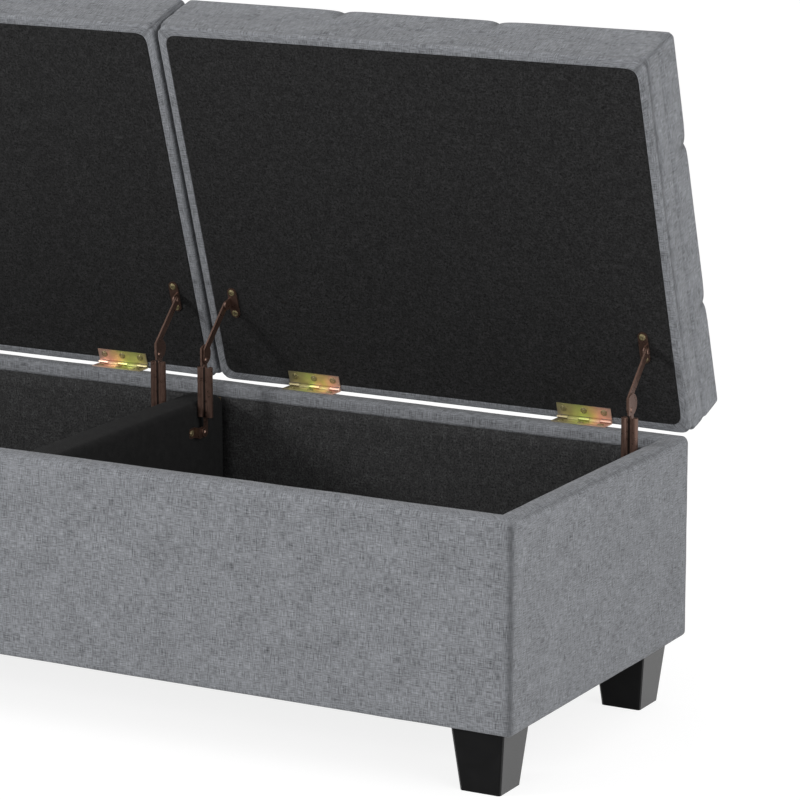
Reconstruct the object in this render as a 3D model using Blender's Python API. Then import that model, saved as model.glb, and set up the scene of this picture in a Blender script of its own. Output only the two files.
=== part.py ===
"""Storage ottoman bench: a padded box on four feet with two tufted lids.

Each lid turns on two butt hinges and is held open by a pair of folding stays.
The model stands with both lids open. Lengths are metres, +Z is up, +Y is the back.
"""

import math

import bmesh
import bpy
from mathutils import Matrix, Vector

# Clearances
SEAT = 0.0003  # between pieces that rest on each other
RUN = 0.0003  # round a pin that turns in its hole

# Box
BENCH_LENGTH = 1.270
BENCH_DEPTH = 0.4525
BOX_HEIGHT = 0.2390
WALL_BOARD = 0.018
FLOOR_BOARD = 0.012
PADDING = 0.004
CLOTH = 0.0016
LINING = 0.0012
RIM_OUTER_RADIUS = 0.010
RIM_INNER_RADIUS = 0.006
HEM_WIDTH = 0.028
SKIRT_DEPTH = 0.0163
TIGHT_CORNER = 0.0005

# Divider between the two bins
DIVIDER_BOARD = 0.036
DIVIDER_CLOTH = 0.002
DIVIDER_DROP = 0.015
DIVIDER_ROUND = 0.012

# Feet and their fixings
FOOT_HEIGHT = 0.0752
FOOT_TOP = 0.065
FOOT_BOTTOM = 0.049
FOOT_INSET = 0.0173
FOOT_EDGE = 0.003
FOOT_BOLT_RADIUS = 0.004
FOOT_BOLT_DEPTH = 0.034
FOOT_BOLT_HEAD_RADIUS = 0.010
FOOT_BOLT_HEAD = 0.002

# Lids
LID_GAP = 0.003
LID_END_INSET = 0.0005
LID_BEHIND = 0.0067  # from the hinge line to the lid's back edge
LID_AHEAD = 0.0114  # from the box's front to the lid's front edge, shut
LID_BOARD = 0.015
LID_BOARD_INSET = 0.0062
LID_CROWN = 0.083
LID_EDGE_FALL = 0.003
LID_EDGE_RADIUS = 0.010
LID_HEM_RADIUS = 0.009
LID_HEM_WIDTH = 0.011
LID_CORNER_RADIUS = 0.018
LINING_CORNER_RADIUS = 0.020
LID_WALL = 0.004
TUFT_PITCH = 0.201
TUFT_DEPTH = 0.016
TUFT_FLOOR = 0.003
PLEAT_SHARE = 0.45
PILLOW_POWER = 2.4
PLEAT_BITE = 0.0025
BAND_HEIGHT = 0.036
BAND_CREASE = 0.0013
BAND_ROLL = 0.004
SIDE_DRAW = 0.0012
CELL_COLUMNS = 6
CELL_ROWS = 5

# Hinges
OPEN_ANGLE = math.radians(72.5)
HINGE_LENGTH = 0.070
HINGE_FROM_MIDDLE = 0.137
HINGE_FROM_END = 0.136
HINGE_BEHIND = 0.001
KNUCKLE_RADIUS = 0.0024
KNUCKLE_GAP = 0.0005
LEAF = 0.0011
LEAF_WIDTH = 0.0175
LEAF_SCREW_REACH = 0.0112
LEAF_SCREW_PITCH = 0.026
PIN_OVERHANG = 0.0005

# Stays
STAY_OFFSET = 0.0128
STAY_PIVOT_REACH = 0.083
STAY_PIVOT_DROP = 0.0475
ELBOW_RISE = 0.0892
KNEE_RISE = 0.0115
EAR_REACH = 0.1045
EAR_DROP = 0.0085
STAY_PLATE = 0.002
STAY_PLATE_GAP = 0.0005
BRACKET_PLATE = 0.0018
EYE_RADIUS = 0.006
STRAP_WIDTH = 0.0066
ELBOW_PLATE_RADIUS = 0.0125
ELBOW_PLATE_RISE = 0.006
ELBOW_PLATE_SHIFT = 0.002
ELBOW_PLATE_FRONT = 0.007
ARM_WIDTH = 0.009
RIVET_RADIUS = 0.002
RIVET_HEAD_RADIUS = 0.0036
RIVET_CROWN_RADIUS = 0.0025
RIVET_HEAD = 0.001
CANISTER_SHEET = 0.0009
CANISTER_START = 0.0187
CANISTER_LENGTH = 0.0615
BARREL_RADIUS = 0.0033
BARREL_SPACING = 0.013
BARREL_SLIT = 35  # degrees from the inner side of a barrel to the edge of its sheet
WALL_FLANGE_REACH = 0.0205
WALL_FLANGE_HEIGHT = 0.013
WALL_FLANGE_ROUND = 0.0045
WALL_WEB_REACH = 0.0089
WALL_SCREW_REACH = 0.0145
LID_PLATE_LENGTH = 0.040
LID_PLATE_WIDTH = 0.012
LID_PLATE_SCREWS = 0.028

# Screws
SCREW_HEAD_RADIUS = 0.0031
SCREW_HEAD = 0.0009
SCREW_HEAD_RIM = 0.0004
SCREW_CROWN_RADIUS = 0.0019
SCREW_RADIUS = 0.0014
SCREW_LENGTH = 0.013

# Levels and faces of the box
BOX_BOTTOM = FOOT_HEIGHT + SEAT
RIM_TOP = BOX_BOTTOM + BOX_HEIGHT
HALF_LENGTH = BENCH_LENGTH / 2
HALF_DEPTH = BENCH_DEPTH / 2
PAD_INSET = CLOTH + SEAT
WRAP_RADIUS = PAD_INSET + PADDING
BOARD_INSET = WRAP_RADIUS + SEAT
BOARD_INNER = BOARD_INSET + WALL_BOARD
LINING_OUTER = BOARD_INNER + SEAT
LINING_INNER = LINING_OUTER + LINING
RIM_WIDTH = BOARD_INNER + SEAT + CLOTH
BOARD_BOTTOM = BOX_BOTTOM + CLOTH + SEAT
BOARD_TOP = RIM_TOP - PAD_INSET - PADDING - SEAT
FLOOR_TOP = BOARD_BOTTOM + FLOOR_BOARD
BIN_FLOOR = FLOOR_TOP + SEAT
SKIRT_EDGE = RIM_TOP - SKIRT_DEPTH
DIVIDER_HALF = DIVIDER_BOARD / 2 + SEAT + DIVIDER_CLOTH
DIVIDER_TOP = RIM_TOP - DIVIDER_DROP

# Lid sizes and the hinge line. The bench is centred on its own reach with the lids open.
HINGE_Z = RIM_TOP + SEAT + KNUCKLE_RADIUS
LID_LIFT = KNUCKLE_RADIUS + SEAT
LID_LENGTH = HALF_LENGTH - LID_END_INSET - LID_GAP / 2
LID_DEPTH = LID_AHEAD + BENCH_DEPTH + HINGE_BEHIND + LID_BEHIND
LID_MIDDLE = LID_BEHIND - LID_DEPTH / 2
LID_CENTRE = LID_GAP / 2 + LID_LENGTH / 2
LID_EDGE_HEIGHT = LID_CROWN - LID_EDGE_FALL
CROWN_SET_BACK = LID_BEHIND - LID_EDGE_RADIUS
CROWN_REACH = (LID_LIFT + LID_EDGE_HEIGHT) * math.sin(OPEN_ANGLE) + CROWN_SET_BACK * math.cos(OPEN_ANGLE)
BACK_Y = (BENCH_DEPTH - HINGE_BEHIND - CROWN_REACH) / 2
CENTRE_Y = BACK_Y - HALF_DEPTH
HINGE_Y = BACK_Y + HINGE_BEHIND
CAVITY_TOP = LID_CROWN - TUFT_DEPTH - TUFT_FLOOR - 2 * LID_EDGE_FALL
LINING_INSET = LID_HEM_WIDTH + SEAT

# Stay layers, measured from the wall that carries the stay
TONGUE_LOW = STAY_OFFSET - STAY_PLATE_GAP / 2 - STAY_PLATE
TONGUE_HIGH = TONGUE_LOW + STAY_PLATE
ARM_LOW = STAY_OFFSET + STAY_PLATE_GAP / 2
ARM_HIGH = ARM_LOW + STAY_PLATE
WALL_EAR_LOW = TONGUE_LOW - SEAT - BRACKET_PLATE
LID_EAR_LOW = ARM_HIGH + SEAT
SLEEVE_FRONT = -BARREL_RADIUS / 2
STRAP_FRONT = SLEEVE_FRONT + CANISTER_SHEET / 2 + SEAT
STAY_PIVOT_Y = BACK_Y - STAY_PIVOT_REACH
STAY_PIVOT_Z = RIM_TOP - STAY_PIVOT_DROP

SMALL_SIDES = 8
SAME_PLACE = 1e-6
SMOOTH_ANGLE = math.radians(35.0)
SIDES = {"left": -1, "right": 1}


def clear_scene():
    """Start from an empty scene."""
    for item in list(bpy.data.objects):
        bpy.data.objects.remove(item, do_unlink=True)


def finish(name, colour, roughness, metallic=0.0):
    """Return the named material, made on first use."""
    material = bpy.data.materials.get(name)
    if material is None:
        material = bpy.data.materials.new(name)
        material.use_nodes = True
        shader = material.node_tree.nodes["Principled BSDF"]
        shader.inputs["Base Color"].default_value = (*colour, 1.0)
        shader.inputs["Roughness"].default_value = roughness
        shader.inputs["Metallic"].default_value = metallic
    return material


def grey_linen():
    return finish("grey_linen", (0.20, 0.21, 0.23), 0.9)


def black_felt():
    return finish("black_felt", (0.012, 0.012, 0.013), 0.95)


def pale_foam():
    return finish("pale_foam", (0.80, 0.76, 0.62), 0.95)


def plain_board():
    return finish("plain_board", (0.55, 0.41, 0.26), 0.7)


def satin_black():
    return finish("satin_black", (0.012, 0.012, 0.014), 0.4)


def yellow_zinc():
    return finish("yellow_zinc", (0.62, 0.52, 0.22), 0.3, 1.0)


def bronze_steel():
    return finish("bronze_steel", (0.11, 0.07, 0.05), 0.4, 1.0)


def bright_steel():
    return finish("bright_steel", (0.60, 0.60, 0.58), 0.35, 1.0)


def place(name, shape, material, location=(0.0, 0.0, 0.0), tilt=0.0):
    """Turn a bmesh into a named object, tilted about X at its location."""
    bmesh.ops.recalc_face_normals(shape, faces=shape.faces)
    mesh = bpy.data.meshes.new(name)
    shape.to_mesh(mesh)
    shape.free()
    mesh.shade_smooth()
    mesh.set_sharp_from_angle(angle=SMOOTH_ANGLE)
    item = bpy.data.objects.new(name, mesh)
    item.data.materials.append(material)
    item.location = location
    item.rotation_euler = (tilt, 0.0, 0.0)
    bpy.context.scene.collection.objects.link(item)
    return item


def combine(first, second, operation):
    """Return a new bmesh: two solids put together or one cut from the other."""
    holders = []
    for shape in (first, second):
        bmesh.ops.recalc_face_normals(shape, faces=shape.faces)
        mesh = bpy.data.meshes.new("working")
        shape.to_mesh(mesh)
        shape.free()
        holder = bpy.data.objects.new("working", mesh)
        bpy.context.scene.collection.objects.link(holder)
        holders.append(holder)
    modifier = holders[0].modifiers.new("combine", "BOOLEAN")
    modifier.operation = operation
    modifier.solver = "EXACT"
    modifier.object = holders[1]
    graph = bpy.context.evaluated_depsgraph_get()
    result = bmesh.new()
    result.from_object(holders[0], graph)
    for holder in holders:
        mesh = holder.data
        bpy.data.objects.remove(holder)
        bpy.data.meshes.remove(mesh)
    return result


def arc(centre, radius, start, end, steps):
    """Points along an arc, with angles in degrees."""
    points = []
    for step in range(steps + 1):
        angle = math.radians(start + (end - start) * step / steps)
        points.append((centre[0] + radius * math.cos(angle), centre[1] + radius * math.sin(angle)))
    return points


def rounded_rectangle(half_x, half_y, radius, steps=3):
    """Corner arcs of a rectangle, anticlockwise."""
    points = []
    for quarter, (sign_x, sign_y) in enumerate(((1, 1), (-1, 1), (-1, -1), (1, -1))):
        centre = (sign_x * (half_x - radius), sign_y * (half_y - radius))
        points += arc(centre, radius, 90 * quarter, 90 * quarter + 90, steps)
    return points


def box(low, high):
    """A plain block between two corners."""
    shape = bmesh.new()
    size = Vector(high) - Vector(low)
    middle = (Vector(high) + Vector(low)) / 2
    matrix = Matrix.Translation(middle) @ Matrix.Diagonal((*size, 1.0))
    bmesh.ops.create_cube(shape, size=1.0, matrix=matrix)
    return shape


def loft(loops, closed=False):
    """Join equal loops of points by quads. Open ends are capped, a closed loft joins its ends."""
    shape = bmesh.new()
    rings = [[shape.verts.new(point) for point in loop] for loop in loops]
    pairs = list(zip(rings, rings[1:]))
    if closed:
        pairs.append((rings[-1], rings[0]))
    for lower, upper in pairs:
        for index in range(len(lower)):
            after = (index + 1) % len(lower)
            shape.faces.new((lower[index], lower[after], upper[after], upper[index]))
    if not closed:
        shape.faces.new(rings[0])
        shape.faces.new(rings[-1])
    return shape


def prism(outline, low, high, axis):
    """Extrude a flat outline along one axis. The outline holds the other two, in X, Y, Z order."""
    loops = []
    for level in (low, high):
        loop = []
        for first, second in outline:
            point = [first, second]
            point.insert(axis, level)
            loop.append(point)
        loops.append(loop)
    return loft(loops)


def turned(profile, sides, matrix):
    """Turn an open profile of (radius, height) about Z, with flat ends."""
    loops = []
    for radius, height in profile:
        loop = []
        for side in range(sides):
            angle = 2 * math.pi * side / sides
            loop.append(matrix @ Vector((radius * math.cos(angle), radius * math.sin(angle), height)))
        loops.append(loop)
    return loft(loops)


def towards(point, direction):
    """Matrix that stands +Z of a turned piece along a direction at a point."""
    turn = Vector((0.0, 0.0, 1.0)).rotation_difference(Vector(direction))
    return Matrix.Translation(point) @ turn.to_matrix().to_4x4()


def rod(point, direction, radius, length, sides=SMALL_SIDES):
    """A plain cylinder that starts at a point."""
    return turned([(radius, 0.0), (radius, length)], sides, towards(point, direction))


def gather(shapes):
    """Put several separate solids into one bmesh."""
    whole = bmesh.new()
    for shape in shapes:
        mesh = bpy.data.meshes.new("working")
        bmesh.ops.recalc_face_normals(shape, faces=shape.faces)
        shape.to_mesh(mesh)
        shape.free()
        whole.from_mesh(mesh)
        bpy.data.meshes.remove(mesh)
    return whole


def drill(shape, holes):
    """Cut round holes, each given as (start, direction, radius, length)."""
    cutters = [rod(start, direction, radius, length) for start, direction, radius, length in holes]
    return combine(shape, gather(cutters), "DIFFERENCE")


def ring_sweep(profile, half_x, half_y, radius, centre_y):
    """Carry a closed profile of (inset, height) round a rectangle with round corners."""
    loops = []
    for inset, height in profile:
        corner = max(radius - inset, TIGHT_CORNER)
        outline = rounded_rectangle(half_x - inset, half_y - inset, corner)
        loops.append([(x, y + centre_y, height) for x, y in outline])
    return loft(loops, closed=True)


def sheet_edges(path, thickness):
    """Both edges of a sheet of even thickness bent along a path."""
    left, right = [], []
    for index, point in enumerate(path):
        here = Vector(point)
        legs = []
        if index > 0:
            legs.append((here - Vector(path[index - 1])).normalized())
        if index < len(path) - 1:
            legs.append((Vector(path[index + 1]) - here).normalized())
        along = sum(legs, Vector((0.0, 0.0))).normalized()
        reach = thickness / 2 / max(along.dot(legs[0]), 0.5)
        across = Vector((-along.y, along.x)) * reach
        left.append(tuple(here + across))
        right.append(tuple(here - across))
    return left, right


def strip_outline(path, thickness):
    """Closed outline of a bent sheet."""
    left, right = sheet_edges(path, thickness)
    return left + right[::-1]


def round_strip(path, width):
    """Outline of a flat bar with round ends along a path."""
    left, right = sheet_edges(path, width)
    first = Vector(path[0]) - Vector(path[1])
    last = Vector(path[-1]) - Vector(path[-2])
    start = math.degrees(math.atan2(first.y, first.x))
    end = math.degrees(math.atan2(last.y, last.x))
    cap_start = arc(path[0], width / 2, start - 90, start + 90, 6)
    cap_end = arc(path[-1], width / 2, end - 90, end + 90, 6)
    return cap_start + right[1:-1] + cap_end + left[-2:0:-1]


def bent_sheet(path, thickness, stations, present):
    """Sheet bent along a (Y, Z) path, in strips between X stations. present(strip, step) says where it is."""
    shape = bmesh.new()
    faces_left, faces_right = sheet_edges(path, thickness)
    grids = []
    for edge in (faces_left, faces_right):
        grids.append([[shape.verts.new((x, *point)) for point in edge] for x in stations])
    strips = len(stations) - 1
    steps = len(path) - 1

    def there(strip, step):
        return 0 <= strip < strips and 0 <= step < steps and present(strip, step)

    def wall(first, second):
        corners = [grids[0][first[0]][first[1]], grids[0][second[0]][second[1]]]
        corners += [grids[1][second[0]][second[1]], grids[1][first[0]][first[1]]]
        shape.faces.new(corners)

    for strip in range(strips):
        for step in range(steps):
            if not there(strip, step):
                continue
            for grid in grids:
                low, high = grid[strip], grid[strip + 1]
                shape.faces.new((low[step], high[step], high[step + 1], low[step + 1]))
            if not there(strip - 1, step):
                wall((strip, step), (strip, step + 1))
            if not there(strip + 1, step):
                wall((strip + 1, step), (strip + 1, step + 1))
            if not there(strip, step - 1):
                wall((strip, step), (strip + 1, step))
            if not there(strip, step + 1):
                wall((strip, step + 1), (strip + 1, step + 1))
    loose = [vert for vert in shape.verts if not vert.link_faces]
    bmesh.ops.delete(shape, geom=loose, context="VERTS")
    return shape


def hinge_centres(side):
    """X of the two hinges of one lid."""
    return {"inner": side * HINGE_FROM_MIDDLE, "outer": side * (HALF_LENGTH - HINGE_FROM_END)}


def leaf_screw_xs(centre):
    """X of the three screws of a leaf."""
    return [centre + step * LEAF_SCREW_PITCH for step in (-1, 0, 1)]


def stay_walls(side):
    """X of the wall behind each stay of one lid, with the way from the wall into the bin."""
    end_face = HALF_LENGTH - LINING_INNER
    return {"inner": (side * DIVIDER_HALF, side), "outer": (side * end_face, -side)}


def foot_spots():
    """Centres of the four feet."""
    reach_x = HALF_LENGTH - FOOT_INSET - FOOT_TOP / 2
    reach_y = HALF_DEPTH - FOOT_INSET - FOOT_TOP / 2
    spots = {}
    for row, way_y in (("front", -1), ("back", 1)):
        for name, side in SIDES.items():
            spots[f"{row}_{name}"] = (side * reach_x, CENTRE_Y + way_y * reach_y)
    return spots


def rim_screw_holes(top, length):
    """Holes for the base leaves' screws, straight down from a level."""
    holes = []
    radius = SCREW_RADIUS + RUN
    for side in SIDES.values():
        for centre in hinge_centres(side).values():
            for x in leaf_screw_xs(centre):
                holes.append(((x, HINGE_Y - LEAF_SCREW_REACH, top), (0, 0, -1), radius, length))
    return holes


def wall_screw_holes(stays, depth):
    """Holes for wall bracket screws, into the wall behind the given stays."""
    holes = []
    for wall_x, inward in stays:
        start = (wall_x + inward * CLOTH, STAY_PIVOT_Y - WALL_SCREW_REACH, STAY_PIVOT_Z)
        holes.append((start, (-inward, 0, 0), SCREW_RADIUS + RUN, depth + CLOTH))
    return holes


def make_boards():
    """Front, back, end and floor boards of the box."""
    long_half = HALF_LENGTH - BOARD_INSET
    front_outer = CENTRE_Y - HALF_DEPTH + BOARD_INSET
    back_outer = CENTRE_Y + HALF_DEPTH - BOARD_INSET
    front_inner = front_outer + WALL_BOARD
    back_inner = back_outer - WALL_BOARD
    end_inner = long_half - WALL_BOARD
    front = box((-long_half, front_outer, BOARD_BOTTOM), (long_half, front_inner, BOARD_TOP))
    place("front_board", front, plain_board())
    back = box((-long_half, back_inner, BOARD_BOTTOM), (long_half, back_outer, BOARD_TOP))
    back = drill(back, rim_screw_holes(RIM_TOP, SCREW_LENGTH + SEAT))
    place("back_board", back, plain_board())
    for name, side in SIDES.items():
        faces = sorted((side * end_inner, side * long_half))
        low = (faces[0], front_inner + SEAT, BOARD_BOTTOM)
        high = (faces[1], back_inner - SEAT, BOARD_TOP)
        end = drill(box(low, high), wall_screw_holes([stay_walls(side)["outer"]], SCREW_LENGTH))
        place(f"{name}_end_board", end, plain_board())
    low = (-end_inner + SEAT, front_inner + SEAT, BOARD_BOTTOM)
    high = (end_inner - SEAT, back_inner - SEAT, FLOOR_TOP)
    recess = FOOT_BOLT_HEAD + SEAT
    sinks = []
    bores = []
    for x, y in foot_spots().values():
        sinks.append(((x, y, FLOOR_TOP + recess), (0, 0, -1), FOOT_BOLT_HEAD_RADIUS + RUN, 2 * recess))
        bores.append(((x, y, FLOOR_TOP), (0, 0, -1), FOOT_BOLT_RADIUS + RUN, 2 * FLOOR_BOARD))
    place("floor_board", drill(drill(box(low, high), sinks), bores), plain_board())


def make_base_padding():
    """Foam sheet round the outside of the boards and over their top edge."""
    outer_centre = (RIM_OUTER_RADIUS, RIM_TOP - RIM_OUTER_RADIUS)
    inner_centre = (RIM_WIDTH - RIM_INNER_RADIUS, RIM_TOP - RIM_INNER_RADIUS)
    hem_centre = (WRAP_RADIUS, BOX_BOTTOM + WRAP_RADIUS)
    profile = arc(hem_centre, WRAP_RADIUS - PAD_INSET, 270, 180, 2)
    profile += arc(outer_centre, RIM_OUTER_RADIUS - PAD_INSET, 180, 90, 3)
    profile += arc(inner_centre, RIM_INNER_RADIUS - PAD_INSET, 90, 20, 2)
    profile.append((BOARD_INNER, BOARD_TOP + SEAT))
    profile.append((WRAP_RADIUS, BOARD_TOP + SEAT))
    shape = ring_sweep(profile, HALF_LENGTH, HALF_DEPTH, WRAP_RADIUS, CENTRE_Y)
    shape = drill(shape, rim_screw_holes(RIM_TOP, 2 * BOARD_INSET))
    place("base_padding", shape, pale_foam())


def make_base_cover():
    """Cloth over the outside, turned over the rim and under the floor."""
    outer_centre = (RIM_OUTER_RADIUS, RIM_TOP - RIM_OUTER_RADIUS)
    inner_centre = (RIM_WIDTH - RIM_INNER_RADIUS, RIM_TOP - RIM_INNER_RADIUS)
    hem_centre = (WRAP_RADIUS, BOX_BOTTOM + WRAP_RADIUS)
    profile = [(HEM_WIDTH, BOX_BOTTOM)]
    profile += arc(hem_centre, WRAP_RADIUS, 270, 180, 2)
    profile += arc(outer_centre, RIM_OUTER_RADIUS, 180, 90, 4)
    profile += arc(inner_centre, RIM_INNER_RADIUS, 90, 0, 3)
    profile.append((RIM_WIDTH, SKIRT_EDGE))
    profile.append((RIM_WIDTH - CLOTH, SKIRT_EDGE))
    profile += arc(inner_centre, RIM_INNER_RADIUS - CLOTH, 0, 90, 3)
    profile += arc(outer_centre, RIM_OUTER_RADIUS - CLOTH, 90, 180, 4)
    profile += arc(hem_centre, WRAP_RADIUS - CLOTH, 180, 270, 2)
    profile.append((HEM_WIDTH, BOX_BOTTOM + CLOTH))
    shape = ring_sweep(profile, HALF_LENGTH, HALF_DEPTH, WRAP_RADIUS, CENTRE_Y)
    shape = drill(shape, rim_screw_holes(RIM_TOP + CLOTH, 3 * CLOTH))
    place("base_cover", shape, grey_linen())


def make_linings():
    """Felt lining of each bin: floor, front, back and end wall. The divider closes the fourth side."""
    wall_top = SKIRT_EDGE - SEAT
    depth_outer = HALF_DEPTH - LINING_OUTER
    depth_inner = HALF_DEPTH - LINING_INNER
    near = DIVIDER_HALF + SEAT
    for name, side in SIDES.items():
        outer = sorted((side * near, side * (HALF_LENGTH - LINING_OUTER)))
        inner = sorted((side * (near - LINING), side * (HALF_LENGTH - LINING_INNER)))
        low = (outer[0], CENTRE_Y - depth_outer, BIN_FLOOR)
        high = (outer[1], CENTRE_Y + depth_outer, wall_top)
        cut_low = (inner[0], CENTRE_Y - depth_inner, BIN_FLOOR + LINING)
        cut_high = (inner[1], CENTRE_Y + depth_inner, RIM_TOP)
        shape = combine(box(low, high), box(cut_low, cut_high), "DIFFERENCE")
        shape = drill(shape, wall_screw_holes([stay_walls(side)["outer"]], SCREW_LENGTH))
        place(f"{name}_bin_lining", shape, black_felt())


def make_divider():
    """Board between the bins and the felt folded over it."""
    half_y = HALF_DEPTH - RIM_WIDTH - SEAT
    stays = [stay_walls(side)["inner"] for side in SIDES.values()]
    board_half = DIVIDER_BOARD / 2
    board_top = DIVIDER_TOP - DIVIDER_CLOTH - SEAT
    inner_round = DIVIDER_ROUND - DIVIDER_CLOTH - SEAT
    board = prism(divider_outline(half_y, BIN_FLOOR, board_top, inner_round), -board_half, board_half, 0)
    place("divider_board", drill(board, wall_screw_holes(stays, SCREW_LENGTH)), plain_board())
    cover_outline = divider_outline(half_y, BIN_FLOOR, DIVIDER_TOP, DIVIDER_ROUND)
    cover = prism(cover_outline, -DIVIDER_HALF, DIVIDER_HALF, 0)
    slot_half = board_half + SEAT
    slot_half_y = half_y + DIVIDER_CLOTH
    slot = divider_outline(slot_half_y, BIN_FLOOR - DIVIDER_CLOTH, board_top + SEAT, inner_round)
    cover = combine(cover, prism(slot, -slot_half, slot_half, 0), "DIFFERENCE")
    place("divider_cover", drill(cover, wall_screw_holes(stays, SCREW_LENGTH)), black_felt())


def divider_outline(half_y, bottom, top, radius):
    """Side view of the divider, with its top corners rounded."""
    outline = [(CENTRE_Y - half_y, bottom), (CENTRE_Y + half_y, bottom)]
    outline += arc((CENTRE_Y + half_y - radius, top - radius), radius, 0, 90, 3)
    outline += arc((CENTRE_Y - half_y + radius, top - radius), radius, 90, 180, 3)
    return outline


def make_dust_cover():
    """Black sheet that closes the underside inside the turned hem."""
    inset = HEM_WIDTH + SEAT
    outline = rounded_rectangle(HALF_LENGTH - inset, HALF_DEPTH - inset, TIGHT_CORNER)
    outline = [(x, y + CENTRE_Y) for x, y in outline]
    shape = prism(outline, BOX_BOTTOM, BOX_BOTTOM + CLOTH, 2)
    holes = []
    for x, y in foot_spots().values():
        holes.append(((x, y, BOARD_BOTTOM), (0, 0, -1), FOOT_BOLT_RADIUS + RUN, 4 * CLOTH))
    place("dust_cover", drill(shape, holes), black_felt())


def make_feet():
    """Four tapered feet, each held by a bolt whose head lies sunk in the floor board."""
    head_low = FLOOR_TOP - FOOT_BOLT_HEAD
    bolt_end = FOOT_HEIGHT - FOOT_BOLT_DEPTH
    for name, (x, y) in foot_spots().items():
        loops = []
        for half, height in ((FOOT_BOTTOM / 2, 0.0), (FOOT_TOP / 2, FOOT_HEIGHT)):
            loops.append([(*point, height) for point in rounded_rectangle(half, half, FOOT_EDGE, 2)])
        start = (0.0, 0.0, FOOT_HEIGHT + FOOT_BOLT_RADIUS)
        depth = FOOT_BOLT_DEPTH + FOOT_BOLT_RADIUS + SEAT
        hole = (start, (0, 0, -1), FOOT_BOLT_RADIUS + RUN, depth)
        place(f"foot_{name}", drill(loft(loops), [hole]), satin_black(), (x, y, 0.0))
        profile = [(FOOT_BOLT_RADIUS, bolt_end), (FOOT_BOLT_RADIUS, head_low)]
        profile += [(FOOT_BOLT_HEAD_RADIUS, head_low), (FOOT_BOLT_HEAD_RADIUS, FLOOR_TOP)]
        bolt = turned(profile, SMALL_SIDES, Matrix())
        place(f"foot_bolt_{name}", bolt, bright_steel(), (x, y, 0.0))


def screw(point, outward, plate):
    """Round head screw in a plate: the point lies on the plate's face, under the head."""
    profile = [(SCREW_CROWN_RADIUS, SCREW_HEAD), (SCREW_HEAD_RADIUS, SCREW_HEAD_RIM)]
    profile += [(SCREW_HEAD_RADIUS, -plate / 2), (SCREW_RADIUS, -plate / 2), (SCREW_RADIUS, -SCREW_LENGTH)]
    return turned(profile, SMALL_SIDES, towards(point, outward))


def leaf_path():
    """Leaf and its rolled knuckle in side view, about the hinge line."""
    roll = KNUCKLE_RADIUS - LEAF / 2
    shoulder = KNUCKLE_RADIUS + KNUCKLE_GAP
    path = [(-LEAF_WIDTH, -roll), (-shoulder, -roll)]
    path += arc((0.0, 0.0), roll, -90, 180, 6)
    return path


def leaf_shape(first_knuckle, flip):
    """One leaf with every second knuckle and its screws. flip -1 turns it over for the lid."""
    pitch = HINGE_LENGTH / 5
    stations = [0.0]
    for knuckle in range(1, 5):
        rolled_before = (knuckle - 1) % 2 == first_knuckle
        shift = -KNUCKLE_GAP / 2 if rolled_before else KNUCKLE_GAP / 2
        stations.append(knuckle * pitch + shift)
    stations.append(HINGE_LENGTH)
    stations = [x - HINGE_LENGTH / 2 for x in stations]
    path = leaf_path()
    shape = bent_sheet(path, LEAF, stations, lambda strip, step: step == 0 or strip % 2 == first_knuckle)
    face = LEAF - KNUCKLE_RADIUS
    screws = [screw((x, -LEAF_SCREW_REACH, face), (0, 0, 1), LEAF) for x in leaf_screw_xs(0.0)]
    shape = combine(shape, gather(screws), "UNION")
    if flip < 0:
        bmesh.ops.scale(shape, vec=(1.0, 1.0, -1.0), verts=shape.verts)
    return shape


def make_base_hinges():
    """Base leaf and pin of each hinge."""
    pin_radius = KNUCKLE_RADIUS - LEAF - RUN
    pin_length = HINGE_LENGTH + 2 * PIN_OVERHANG
    for name, side in SIDES.items():
        for spot, centre in hinge_centres(side).items():
            line = (centre, HINGE_Y, HINGE_Z)
            place(f"{name}_{spot}_hinge_base_leaf", leaf_shape(0, 1), yellow_zinc(), line)
            pin = rod((-pin_length / 2, 0.0, 0.0), (1, 0, 0), pin_radius, pin_length)
            place(f"{name}_{spot}_hinge_pin", pin, yellow_zinc(), line)


def lid_holes(side):
    """Holes for the screws in one lid's underside, straight up from the level of its hinge line."""
    holes = []
    radius = SCREW_RADIUS + RUN
    for x, y in lid_screw_spots(side):
        holes.append(((x, y, 0.0), (0, 0, 1), radius, LID_LIFT + SCREW_LENGTH))
    return holes


def lid_screw_spots(side):
    """(X, Y) of every screw in one lid: leaf screws first, then lid bracket screws."""
    spots = []
    for centre in hinge_centres(side).values():
        spots += [(x - side * LID_CENTRE, -LEAF_SCREW_REACH) for x in leaf_screw_xs(centre)]
    for wall_x, inward in stay_walls(side).values():
        x = wall_x + inward * (LID_EAR_LOW + LID_PLATE_WIDTH / 2) - side * LID_CENTRE
        spots += [(x, -EAR_REACH + way * LID_PLATE_SCREWS / 2) for way in (-1, 1)]
    return spots


def cell_lines(half, cells):
    """Grid lines across a lid, close together at its edges and at the two pleats."""
    marks = (-half, -TUFT_PITCH / 2, TUFT_PITCH / 2, half)
    lines = []
    for low, high in zip(marks, marks[1:]):
        for step in range(cells):
            share = (1 - math.cos(math.pi * step / cells)) / 2
            lines.append(low + (high - low) * share)
    lines.append(half)
    return lines


def pillow(position, half):
    """Swell across one row of tufts: 0 on a pleat, 1 at the top of a cell and at the lid's edge."""
    pleat = TUFT_PITCH / 2
    if abs(position) <= pleat:
        return pillow_rise(1 - abs(position) / pleat)
    return pillow_rise((abs(position) - pleat) / (half - pleat))


def pillow_rise(share):
    """Rise from a pleat, share 0, to the top of a cell, share 1."""
    return 1 - (1 - share) ** PILLOW_POWER


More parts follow.
